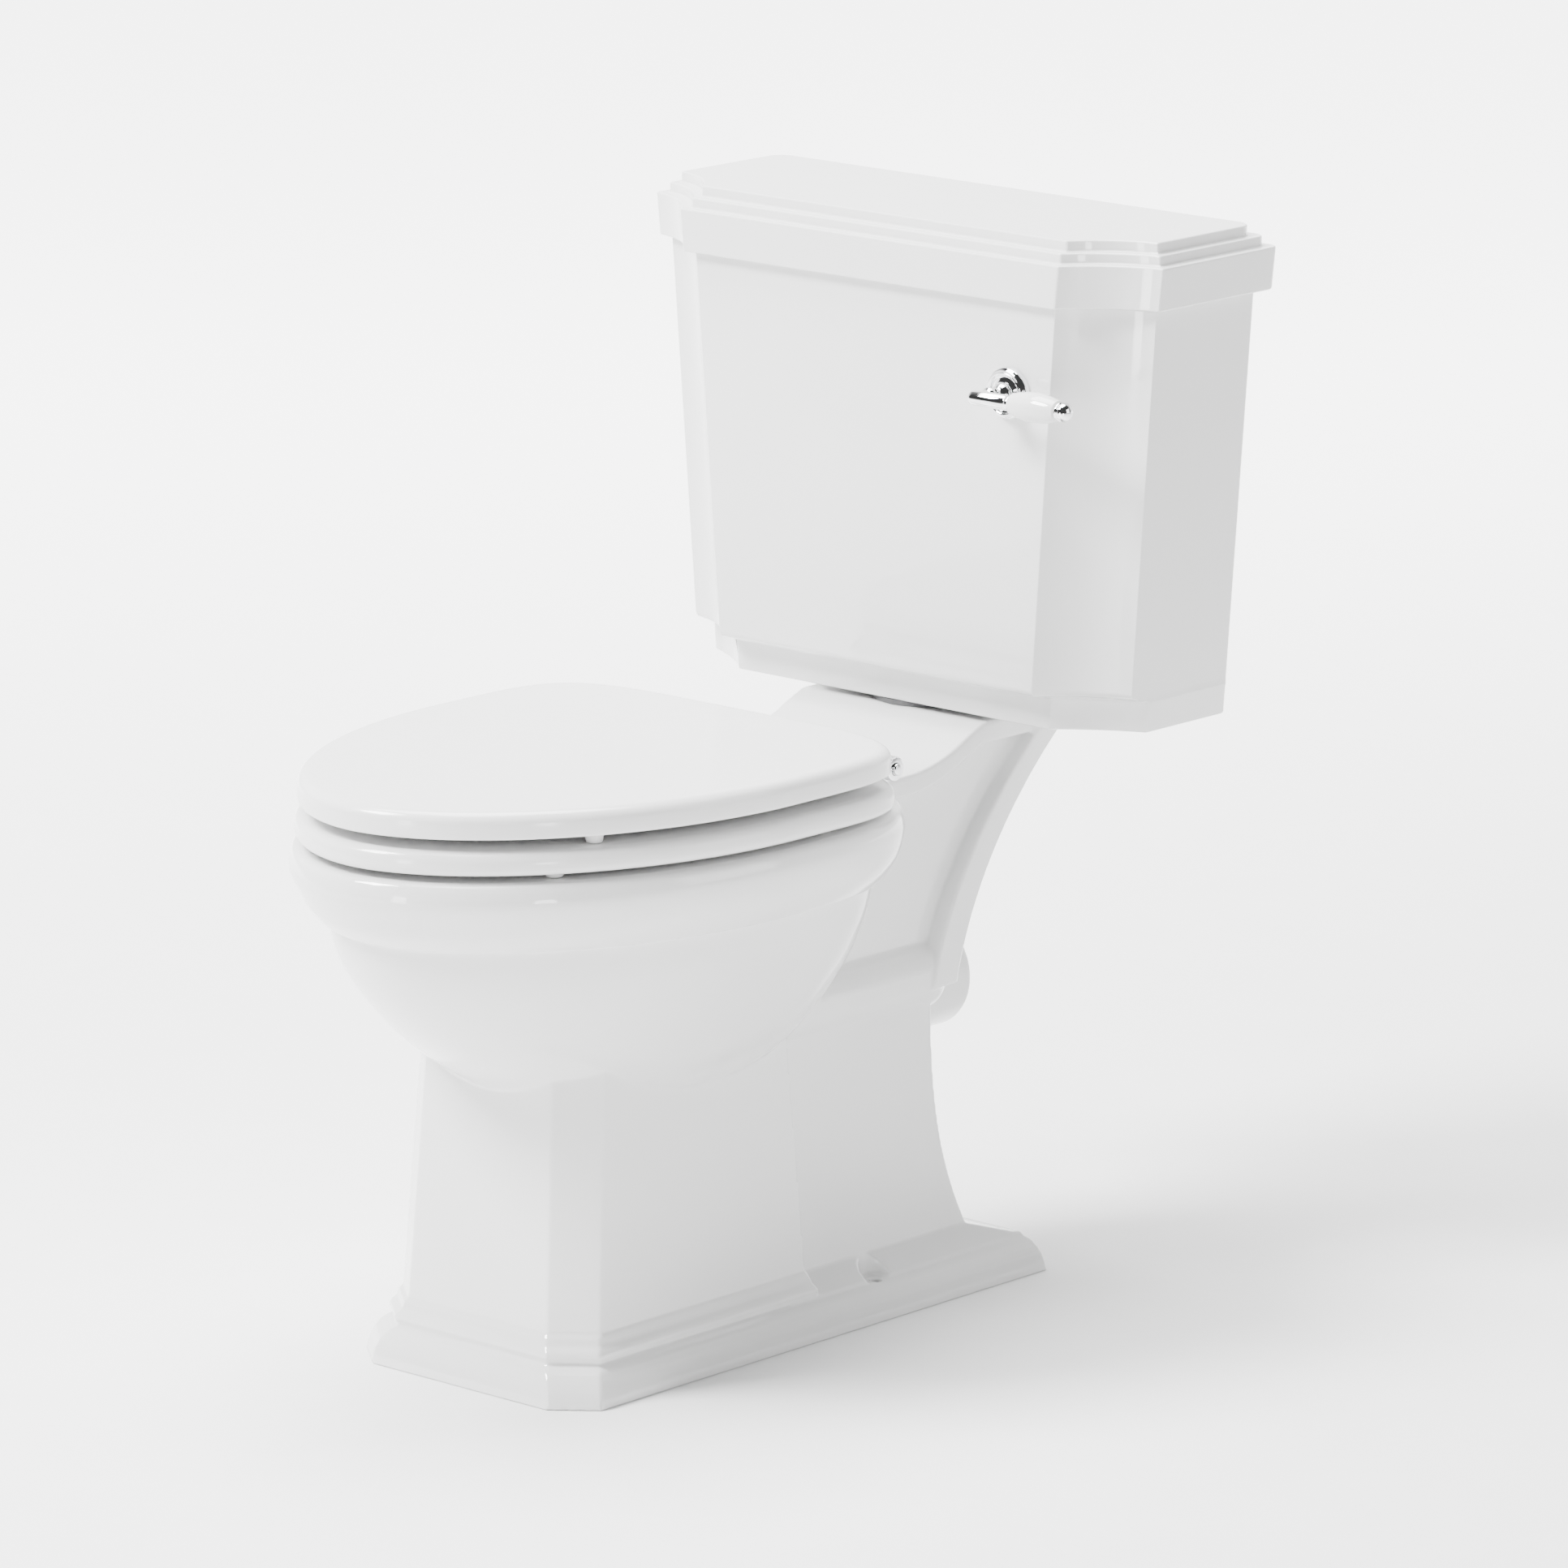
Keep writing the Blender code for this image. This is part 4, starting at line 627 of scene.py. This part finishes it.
BOWL_SHAPE = (
    (0.040, -0.140, -0.030, 0.214),
    (0.078, -0.190, -0.010, 0.195),
    (0.098, -0.217, 0.020, 0.179),
    (0.116, -0.248, 0.042, 0.159),
    (0.131, -0.281, 0.066, 0.132),
    (0.145, -0.309, 0.084, 0.101),
    (0.155, -0.326, 0.092, 0.070),
    (0.160, -0.331, 0.093, 0.030),
)

SUMP_SHAPE = (
    (0.030, -0.085, -0.010, -0.045, 0.118),
    (0.044, -0.110, 0.004, -0.045, 0.148),
    (0.062, -0.160, 0.004, -0.060, 0.198),
)


def bowl():
    rows = flowing(BOWL_SHAPE, 5)
    return loft("bowl", [(egg(half, front, rear), DECK_Z - down) for half, front, rear, down in rows])


def bowl_hollow():
    rows = list(SUMP_SHAPE)
    for half, front, rear, down in BOWL_SHAPE[3:6]:
        inset = BOWL_WALL + 0.003
        rows.append((half - inset, front + inset * 1.3, rear - inset * 2.4, RIM_MIDDLE, DECK_Z - down))
    rows.append((0.143, -0.311, 0.050, RIM_MIDDLE, DECK_Z - 0.050))
    rows = flowing(rows, 4)
    rows += [
        (0.143, -0.311, 0.050, RIM_MIDDLE, DECK_Z - 0.028),
        (0.126, -0.292, 0.022, RIM_MIDDLE, DECK_Z - 0.018),
        (0.126, -0.292, 0.022, RIM_MIDDLE, DECK_Z - 0.006),
        (0.129, -0.295, 0.025, RIM_MIDDLE, DECK_Z - 0.002),
        (0.134, -0.300, 0.030, RIM_MIDDLE, DECK_Z + 0.002),
    ]
    return loft("bowl_hollow", [(egg(half, front, rear, middle), z) for half, front, rear, middle, z in rows])


def trap_line():
    dip = bezier((-0.050, 0.152), (0.010, 0.080), (0.062, 0.120), (0.092, 0.185), 16)
    crest = bezier((0.092, 0.185), (0.110, 0.222), (0.140, OUTLET_Z), (0.185, OUTLET_Z), 14)
    return [(0.0, y, z) for y, z in dip + crest[1:]] + [(0.0, OUTLET_END + 0.010, OUTLET_Z)]


def base_hollow():
    half = REAR_BLOCK_HALF - BOWL_WALL - 0.003
    front = BASE_FRONT + SHAFT_INSET + BOWL_WALL + 0.020
    room = box("base_hollow", (-half, front, -0.010), (half, REAR_BLOCK_BACK - BOWL_WALL, 0.182), 0.010)
    trap = tube("trap_wall", trap_line(), OUTLET_BORE + BOWL_WALL)
    sump = loft("sump_wall", [(egg(half + BOWL_WALL, front - BOWL_WALL, rear + BOWL_WALL, middle), z)
                              for half, front, rear, middle, z in SUMP_SHAPE])
    return cut(room, trap, sump)


def pan_cutters():
    recess = rod("recess", (SCREW_X, SCREW_Y, SCREW_SEAT_Z), (SCREW_X, SCREW_Y, 0.070),
                 SCREW_RECESS_RADIUS)
    hole = rod("hole", (SCREW_X, SCREW_Y, -0.010), (SCREW_X, SCREW_Y, 0.035), SCREW_HOLE_RADIUS, 24)
    inlet = rod("inlet", (0, SIPHON_Y, PLATFORM_Z - 0.030), (0, SIPHON_Y, PLATFORM_Z + 0.010), INLET_RADIUS)
    pocket = box("pocket", (0.049, SIPHON_Y - 0.013, 0.370), (0.075, PLATFORM_BACK + 0.010, 0.404), 0.002)
    pieces = [inlet]
    for piece in (recess, hole, pocket):
        pieces += both_sides(piece)
    return pieces


def remeshed(obj, voxel, smoothing):
    """Melts a joined shape into one skin with softened edges."""
    remesh = obj.modifiers.new("melt", "REMESH")
    remesh.mode = "VOXEL"
    remesh.voxel_size = voxel
    soften = obj.modifiers.new("soften", "SMOOTH")
    soften.factor = 0.5
    soften.iterations = smoothing
    return apply_modifiers(obj)


def build_pan():
    trap = box("trap_band", (-TRAP_HALF, -0.040, TRAP_BOTTOM_Z), (TRAP_HALF, TRAP_BACK, TRAP_TOP_Z),
               0.0225, 12)
    spigot = rod("spigot", (0, 0.140, OUTLET_Z), (0, OUTLET_END, OUTLET_Z), OUTLET_RADIUS, bevel=0.003)
    pan, *rest = pedestal()
    join(pan, *rest, trap, *neck(), bowl(), rim(), spigot)
    cut(pan, bowl_hollow(), tube("trap_bore", trap_line(), OUTLET_BORE), base_hollow(), *pan_cutters())
    remeshed(pan, VOXEL, 3 if FINE else 1)
    if FINE:
        count = sum(len(face.vertices) - 2 for face in pan.data.polygons)
        thin = pan.modifiers.new("thin", "DECIMATE")
        thin.ratio = min(1.0, PAN_TRIANGLES / count)
        apply_modifiers(pan)
    pan.data.shade_smooth()
    dress(pan, "pan_glazed", GLAZE, "pan_and_cistern", "pan")


# Cistern

def tank_outline(z, wall=0.0):
    share = (z - TANK_Z) / TANK_HEIGHT
    front = TANK_FRONT_BOTTOM + (TANK_FRONT_TOP - TANK_FRONT_BOTTOM) * share
    half = TANK_HALF_BOTTOM + (TANK_HALF_TOP - TANK_HALF_BOTTOM) * share
    return scooped(half - wall, front + wall, TANK_BACK - wall, SCOOP_X, SCOOP_Y, SCOOP_SAG, BACK_CORNER)


def plinth_outline(z, wall=0.0):
    share = (z - TANK_Z) / TANK_HEIGHT
    half = TANK_HALF_BOTTOM + (TANK_HALF_TOP - TANK_HALF_BOTTOM) * share
    front = TANK_FRONT_BOTTOM + PLINTH_SETBACK
    return scooped(half - wall, front + wall, TANK_BACK - wall,
                   PLINTH_CUT_X, PLINTH_CUT_Y, PLINTH_CUT_SAG, BACK_CORNER)


def shelf_outline(z, share):
    """Between the cistern's face (0) and its recessed plinth (1)."""
    return between(tank_outline(z), plinth_outline(z), share)


def build_tank():
    shelf_z = TANK_Z + PLINTH_HEIGHT
    edge = 0.0055
    reach = edge / PLINTH_SETBACK
    sections = [
        (plinth_outline(TANK_Z, 0.0016), TANK_Z),
        (plinth_outline(TANK_Z, 0.0004), TANK_Z + 0.0005),
        (plinth_outline(TANK_Z), TANK_Z + 0.0016),
        (plinth_outline(shelf_z - 0.0065), shelf_z - 0.0065),
        (shelf_outline(shelf_z, 0.985), shelf_z - 0.0050),
        (shelf_outline(shelf_z, 0.93), shelf_z - 0.0038),
    ]
    for i in range(CORNER_STEPS + 1):
        turn = math.pi / 2 * (1 - i / CORNER_STEPS)
        z = shelf_z + edge * (1 - math.sin(turn))
        sections.append((shelf_outline(z, reach * (1 - math.cos(turn))), z))
    sections += [
        (tank_outline(TANK_TOP_Z - 0.001), TANK_TOP_Z - 0.001),
        (tank_outline(TANK_TOP_Z, 0.001), TANK_TOP_Z),
        (tank_outline(TANK_TOP_Z, TANK_WALL), TANK_TOP_Z),
        (tank_outline(shelf_z + 0.031, TANK_WALL), shelf_z + 0.031),
        (plinth_outline(shelf_z + TANK_WALL, TANK_WALL), shelf_z + TANK_WALL),
        (plinth_outline(TANK_Z + TANK_FLOOR, TANK_WALL), TANK_Z + TANK_FLOOR),
    ]
    tank = loft("tank", sections)
    round_edges(tank, 0.0018, 4, 24.0, harden=True)
    bore = rod("bore", (LEVER_X, 0.17, LEVER_Z), (LEVER_X, 0.23, LEVER_Z), LEVER_BORE_RADIUS)
    cut(tank, bore)
    dress(tank, "cistern_glazed", GLAZE, "pan_and_cistern", "cistern_tank")


def lid_outline(inset_x=0.0, inset_front=0.0, inset_back=0.0, scoop=1.0, corner=0.0):
    half = TANK_HALF_TOP + LID_OVERHANG_X
    front = TANK_FRONT_TOP - LID_OVERHANG_FRONT
    return scooped(half - inset_x, front + inset_front, LID_BACK - inset_back, (SCOOP_X + 0.0017) * scoop,
                   (SCOOP_Y + 0.002) * scoop, SCOOP_SAG, BACK_CORNER + 0.002 + corner)


def build_lid():
    wall = TANK_WALL + 0.003
    skirt_z = LID_Z + SKIRT_HEIGHT
    middle_z = skirt_z + TIER_HEIGHT
    top_z = middle_z + TIER_HEIGHT + 0.0005
    middle = lid_outline(0.008 - SKIRT_FLARE, 0.008, 0.005, 0.95, 0.002)
    top = lid_outline(0.0148 - SKIRT_FLARE, 0.0168, 0.0108, 0.87, 0.006)
    inner = tank_outline(TANK_TOP_Z, wall + 0.008)
    lip = tank_outline(TANK_TOP_Z, wall)
    lid = loft("lid", [
        (inner, top_z - 0.012),
        (inner, LID_Z - 0.010),
        (lip, LID_Z - 0.010),
        (lip, LID_Z),
        (lid_outline(), LID_Z),
        (lid_outline(inset_x=-SKIRT_FLARE), skirt_z),
        (middle, skirt_z),
        (middle, middle_z),
        (top, middle_z),
        (top, top_z),
    ])
    round_edges(lid, 0.0015, 4, 24.0, harden=True)
    dress(lid, "lid_glazed", GLAZE, "lid", "cistern_lid")


# Seat

def seat_outline(inset):
    return egg(SEAT_HALF_WIDTH - inset, SEAT_FRONT + inset, SEAT_REAR - inset, rear_power=SEAT_REAR_POWER)


def shrunk(outline, share, center=SEAT_MIDDLE):
    return [(center[0] + (x - center[0]) * share, center[1] + (y - center[1]) * share) for x, y in outline]


def quarter(radius, steps=6):
    """(inset, depth) pairs round a quarter circle, from the side to the flat."""
    for i in range(steps + 1):
        turn = math.pi / 2 * i / steps
        yield radius * (1 - math.cos(turn)), radius * (1 - math.sin(turn))


def build_cover():
    low = COVER_Z + GAP_GAIN
    top = COVER_Z + COVER_THICKNESS
    lower = 0.0022
    upper = 0.0085
    sections = [(shrunk(seat_outline(0.012), share), low) for share in (0.30, 0.90, 1.0)]
    for inset, depth in reversed(list(quarter(lower, 4))):
        sections.append((seat_outline(inset), low + depth))
    for inset, depth in quarter(upper, 9):
        sections.append((seat_outline(inset), top - depth))
    crown = 0.0012
    for share in (0.97, 0.90, 0.78, 0.62, 0.42, 0.2, 0.06):
        sections.append((shrunk(seat_outline(upper), share), top + crown * (1 - share ** 2)))
    cover = loft("cover", sections)
    dress(cover, "cover_lacquered", LACQUER, "cover", "seat_cover", 50.0)


def build_ring():
    low = RING_Z
    top = RING_Z + RING_THICKNESS
    rings = []

    def add(outline, z):
        rings.append([(x, y, z) for x, y in outline])

    for inset, depth in reversed(list(quarter(0.006, 6))):
        add(seat_outline(inset - RING_OVERHANG), low + depth)
    for inset, depth in quarter(0.0085, 8):
        add(seat_outline(inset - RING_OVERHANG), top - depth)

    def hole(grow):
        return egg(0.112 + grow, -0.276 - grow, -0.006 + grow)

    for inset, depth in reversed(list(quarter(0.0095, 8))):
        add(hole(inset), top - depth)
    for inset, depth in quarter(0.003, 4):
        add(hole(inset), low + depth)
    ring = skin("ring", rings, cyclic=True)
    dress(ring, "ring_lacquered", LACQUER, "ring", "seat_ring", 50.0)


def build_buffers():
    for node in sorted(NODES):
        if "buffer" not in node:
            continue
        low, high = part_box(node)
        center = (low + high) / 2
        height = high.z - low.z + (GAP_GAIN if "cover" in node else 0.0)
        radius = (high.x - low.x) / 2
        profile = [
            (0.0, height), (radius * 0.96, height), (radius, height * 0.93), (radius * 0.97, height * 0.72),
            (radius * 0.90, height * 0.35), (radius * 0.84, height * 0.12), (radius * 0.78, height * 0.03),
            (radius * 0.70, 0.0), (0.0, 0.0),
        ]
        piece = turned(node + "_soft", profile, (center.x, center.y, low.z))
        dress(piece, node + "_soft", PLASTIC, "cover" if "cover" in node else "ring", node, 50.0)


# Hinge

def build_hinge():
    low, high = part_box("hinge_bar")
    bar = rod("bar", (low.x, HINGE_Y, HINGE_Z), (high.x, HINGE_Y, HINGE_Z), HINGE_BAR_RADIUS,
              bevel=0.0015)
    dress(bar, "hinge_bar_chrome", CHROME, "pan_and_cistern", "hinge_bar", 40.0)
    for kind in ("ring", "cover"):
        for side in ("right", "left"):
            node = f"{kind}_hinge_{side}"
            low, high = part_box(node)
            eye = rod("eye", (low.x, HINGE_Y, HINGE_Z), (high.x, HINGE_Y, HINGE_Z), 0.009, bevel=0.0012)
            if kind == "cover":
                leaf_z = high.z - LEAF_THICKNESS
            else:
                leaf_z = RING_Z + RING_THICKNESS + CLEARANCE
            leaf = box("leaf", (low.x, low.y, leaf_z), (high.x, HINGE_Y, leaf_z + LEAF_THICKNESS), 0.0008, 2)
            join(eye, leaf)
            cut(eye, rod("bore", (low.x - 0.01, HINGE_Y, HINGE_Z), (high.x + 0.01, HINGE_Y, HINGE_Z), 0.0049))
            dress(eye, node + "_chrome", CHROME, kind, node, 35.0)
    for side, sign in (("right", 1), ("left", -1)):
        x = sign * POST_X
        base = turned("post", [
            (0.0, 0.0180), (0.0065, 0.0180), (0.0066, 0.0090), (0.0074, 0.0066), (0.0090, 0.0054),
            (0.0125, 0.0046), (0.0136, 0.0040), (0.0140, 0.0030), (0.0140, CLEARANCE), (0.0040, CLEARANCE),
            (0.0040, -0.0300), (0.0, -0.0300),
        ], (x, HINGE_Y, DECK_Z))
        eye = rod("eye", (x - 0.009, HINGE_Y, HINGE_Z), (x + 0.009, HINGE_Y, HINGE_Z), 0.008, bevel=0.0012)
        join(base, eye)
        cut(base, rod("bore", (x - 0.02, HINGE_Y, HINGE_Z), (x + 0.02, HINGE_Y, HINGE_Z), 0.0048))
        node = f"hinge_post_{side}"
        dress(base, node + "_chrome", CHROME, "pan_and_cistern", node, 35.0)


# Flush lever

def build_lever():
    face = LEVER_FACE_Y - CLEARANCE
    middle = (LEVER_X, face, LEVER_Z)
    forward = (0, -1, 0)
    flange = flowing([
        (0.0049, 0.0068), (0.0074, 0.0062), (0.0102, 0.0053), (0.0124, 0.0049), (0.0136, 0.0070),
        (0.0146, 0.0080), (0.0155, 0.0080), (0.0162, 0.0064), (0.0172, 0.0052), (0.0182, 0.0046),
        (0.0188, 0.0034), (0.0190, 0.0018),
    ], 5)
    bush = [(0.0190, 0.0), (0.0080, 0.0), (0.0080, -0.0230), (0.0049, -0.0230)]
    rosette = turned("rosette", flange + bush, middle, forward)
    dress(rosette, "rosette_chrome", CHROME, "pan_and_cistern", "lever_rosette", 45.0)
    reach = face - BAR_Y
    collars = flowing([
        (0.0046, reach - 0.0030), (0.0052, reach - 0.0060), (0.0068, reach - 0.0075),
        (0.0070, reach - 0.0095), (0.0052, reach - 0.0112), (0.0046, reach - 0.0130), (0.0048, 0.0150),
        (0.0070, 0.0125), (0.0085, 0.0100), (0.0086, 0.0070),
    ], 4)
    shank = [(0.0084, 0.0062), (0.0045, 0.0061), (0.0045, -0.0790), (0.0, -0.0790)]
    spindle = turned("spindle", collars + shank, middle, forward)
    dress(spindle, "spindle_chrome", CHROME, "lever", "lever_spindle", 45.0)
    low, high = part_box("lever_bar")
    radius = (high.z - low.z) / 2
    length = high.x - low.x
    y = (low.y + high.y) / 2
    bar = turned("bar", [
        (0.0, length), (radius * 0.92, length), (radius, length - 0.0006), (radius, length - 0.0030),
        (radius * 0.95, length - 0.0034), (radius * 0.95, length - 0.0044), (radius, length - 0.0048),
        (radius, 0.0040), (radius * 0.985, 0.0024), (radius * 0.93, 0.0012), (radius * 0.83, 0.0004),
        (radius * 0.70, 0.0), (0.0, 0.0),
    ], (low.x, y, LEVER_Z), (1, 0, 0))
    dress(bar, "lever_bar_chrome", CHROME, "lever", "lever_bar", 45.0)
    low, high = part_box("lever_grip")
    length = high.x - low.x
    big = (high.z - low.z) / 2
    rows = flowing([
        (0.0066, 0.0), (0.0078, 0.0010), (0.0086, 0.004), (0.0100, 0.011), (big - 0.0002, 0.019),
        (big, 0.024), (big - 0.0005, 0.030), (0.0092, 0.038), (0.0080, 0.0425), (0.0074, length - 0.0006),
        (0.0064, length),
    ], 5)
    grip = turned("grip", [(0.0, 0.0)] + rows + [(0.0, length)], (low.x, y, LEVER_Z), (1, 0, 0))
    dress(grip, "lever_grip_glazed", GLAZE, "lever", "lever_grip", 50.0)
    low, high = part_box("lever_finial")
    length = (high.x - low.x) * 0.74
    big = (high.z - low.z) / 2
    rows = flowing([
        (big * 0.82, 0.0), (big * 0.98, 0.0005), (big, 0.0013), (big * 0.97, 0.0021), (big * 0.88, 0.0025),
        (big * 0.88, 0.0031), (big * 0.98, 0.0037), (big, 0.0048), (big * 0.96, 0.0062), (big * 0.85, 0.0078),
        (big * 0.67, 0.0090), (big * 0.45, 0.0098), (big * 0.22, 0.0102), (big * 0.05, length),
    ], 4)
    finial = turned("finial", [(0.0, 0.0)] + rows + [(0.0, length)], (low.x, y, LEVER_Z), (1, 0, 0))
    dress(finial, "lever_finial_chrome", CHROME, "lever", "lever_finial", 50.0)


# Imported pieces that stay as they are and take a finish

def finish_inner():
    rules = (
        (BRASS, ("lever_backnut", "lever_crank", "siphon_lift_rod", "coupling_bolt", "wing_nut", "float_pin",
                 "float_arm")),
        (RUBBER, ("hinge_sleeve", "doughnut_seal", "bolt_washer")),
        (FLOAT_PLASTIC, ("float_ball",)),
        (PLASTIC, ("siphon_body", "siphon_backnut", "siphon_plunger", "fill_valve", "valve_nut")),
    )
    for material, starts in rules:
        for name, node in NODES.items():
            if name.startswith(starts):
                node.data.materials.clear()
                node.data.materials.append(material)


# Studio

BACKDROP = Vector((-0.60, 0.78, 0.15)).normalized()


def ranged(tree, value, source, target):
    """A smooth step of a value from the source range to the target range."""
    node = tree.nodes.new("ShaderNodeMapRange")
    node.interpolation_type = "SMOOTHSTEP"
    node.inputs["From Min"].default_value, node.inputs["From Max"].default_value = source
    node.inputs["To Min"].default_value, node.inputs["To Max"].default_value = target
    tree.links.new(value, node.inputs["Value"])
    return node.outputs["Result"]


def area_light(name, place, target, size, power, size_y=None):
    data = bpy.data.lights.new(name, "AREA")
    data.shape = "RECTANGLE"
    data.size = size
    data.size_y = size_y or size
    data.energy = power
    lamp = bpy.data.objects.new(name, data)
    bpy.context.scene.collection.objects.link(lamp)
    lamp.location = place
    lamp.rotation_euler = (Vector(target) - Vector(place)).to_track_quat("-Z", "Y").to_euler()


def build_world():
    """Room light: a bright backdrop low behind the object in a dim room."""
    world = bpy.data.worlds.new("studio")
    world.use_nodes = True
    tree = world.node_tree
    coords = tree.nodes.new("ShaderNodeTexCoord")
    dot = tree.nodes.new("ShaderNodeVectorMath")
    dot.operation = "DOT_PRODUCT"
    dot.inputs[1].default_value = BACKDROP
    tree.links.new(coords.outputs["Generated"], dot.inputs[0])
    split = tree.nodes.new("ShaderNodeSeparateXYZ")
    tree.links.new(coords.outputs["Generated"], split.inputs["Vector"])
    across = ranged(tree, dot.outputs["Value"], (0.05, 0.75), (0.0, 3.4))
    height = ranged(tree, split.outputs["Z"], (0.25, 0.75), (1.0, 0.12))
    product = tree.nodes.new("ShaderNodeMath")
    product.operation = "MULTIPLY_ADD"
    tree.links.new(across, product.inputs[0])
    tree.links.new(height, product.inputs[1])
    product.inputs[2].default_value = 0.06
    background = tree.nodes["Background"]
    background.inputs["Color"].default_value = (1.0, 1.0, 1.0, 1.0)
    tree.links.new(product.outputs["Value"], background.inputs["Strength"])
    bpy.context.scene.world = world


def build_floor():
    """A pale floor whose far part glows a little, so that it melts into the backdrop."""
    bm = bmesh.new()
    bmesh.ops.create_grid(bm, x_segments=24, y_segments=24, size=14.0)
    floor = mesh_object("floor", bm)
    material = surface("floor_paint", (0.90, 0.90, 0.90), (0.92, 0.92, 0.92), (0.75, 0.85), 3.0,
                       (40.0, 0.05, 0.0005))
    tree = material.node_tree
    shader = tree.nodes["Principled BSDF"]
    coords = tree.nodes["Texture Coordinate"]
    behind = tree.nodes.new("ShaderNodeVectorMath")
    behind.operation = "DOT_PRODUCT"
    behind.inputs[1].default_value = (-0.67, 0.74, 0.0)
    tree.links.new(coords.outputs["Object"], behind.inputs[0])
    glow = ranged(tree, behind.outputs["Value"], (0.2, 4.0), (0.0, 5.0))
    shader.inputs["Emission Color"].default_value = (1.0, 1.0, 1.0, 1.0)
    tree.links.new(glow, shader.inputs["Emission Strength"])
    floor.data.materials.append(material)
    floor.location.z = -0.0005


def build_lights():
    middle = (0.0, 0.0, 0.40)
    area_light("key", (-1.6, -2.5, 3.7), middle, 1.4, 620.0)
    area_light("top", (-0.5, 0.1, 3.4), middle, 2.2, 330.0)
    area_light("fill", (3.4, 1.4, 1.3), (0.0, 0.0, 0.2), 1.8, 42.0)
    area_light("strip_right", (2.1, -1.25, 0.30), (0.2, -0.15, 0.30), 0.25, 8.0, 0.55)
    area_light("strip_left", (0.15, -2.3, 0.47), (0.2, -0.15, 0.47), 0.3, 14.0, 0.9)


def build_camera():
    data = bpy.data.cameras.new("camera")
    data.lens = CAMERA_LENS
    data.sensor_width = CAMERA_SENSOR
    camera = bpy.data.objects.new("camera", data)
    bpy.context.scene.collection.objects.link(camera)
    place = Vector(CAMERA_PLACE)
    camera.location = place
    camera.rotation_euler = (Vector(CAMERA_TARGET) - place).to_track_quat("-Z", "Y").to_euler()
    bpy.context.scene.camera = camera


build_camera()
build_world()
build_floor()
build_lights()
build_pan()
build_tank()
build_lid()
build_cover()
build_ring()
build_buffers()
build_hinge()
build_lever()
finish_inner()
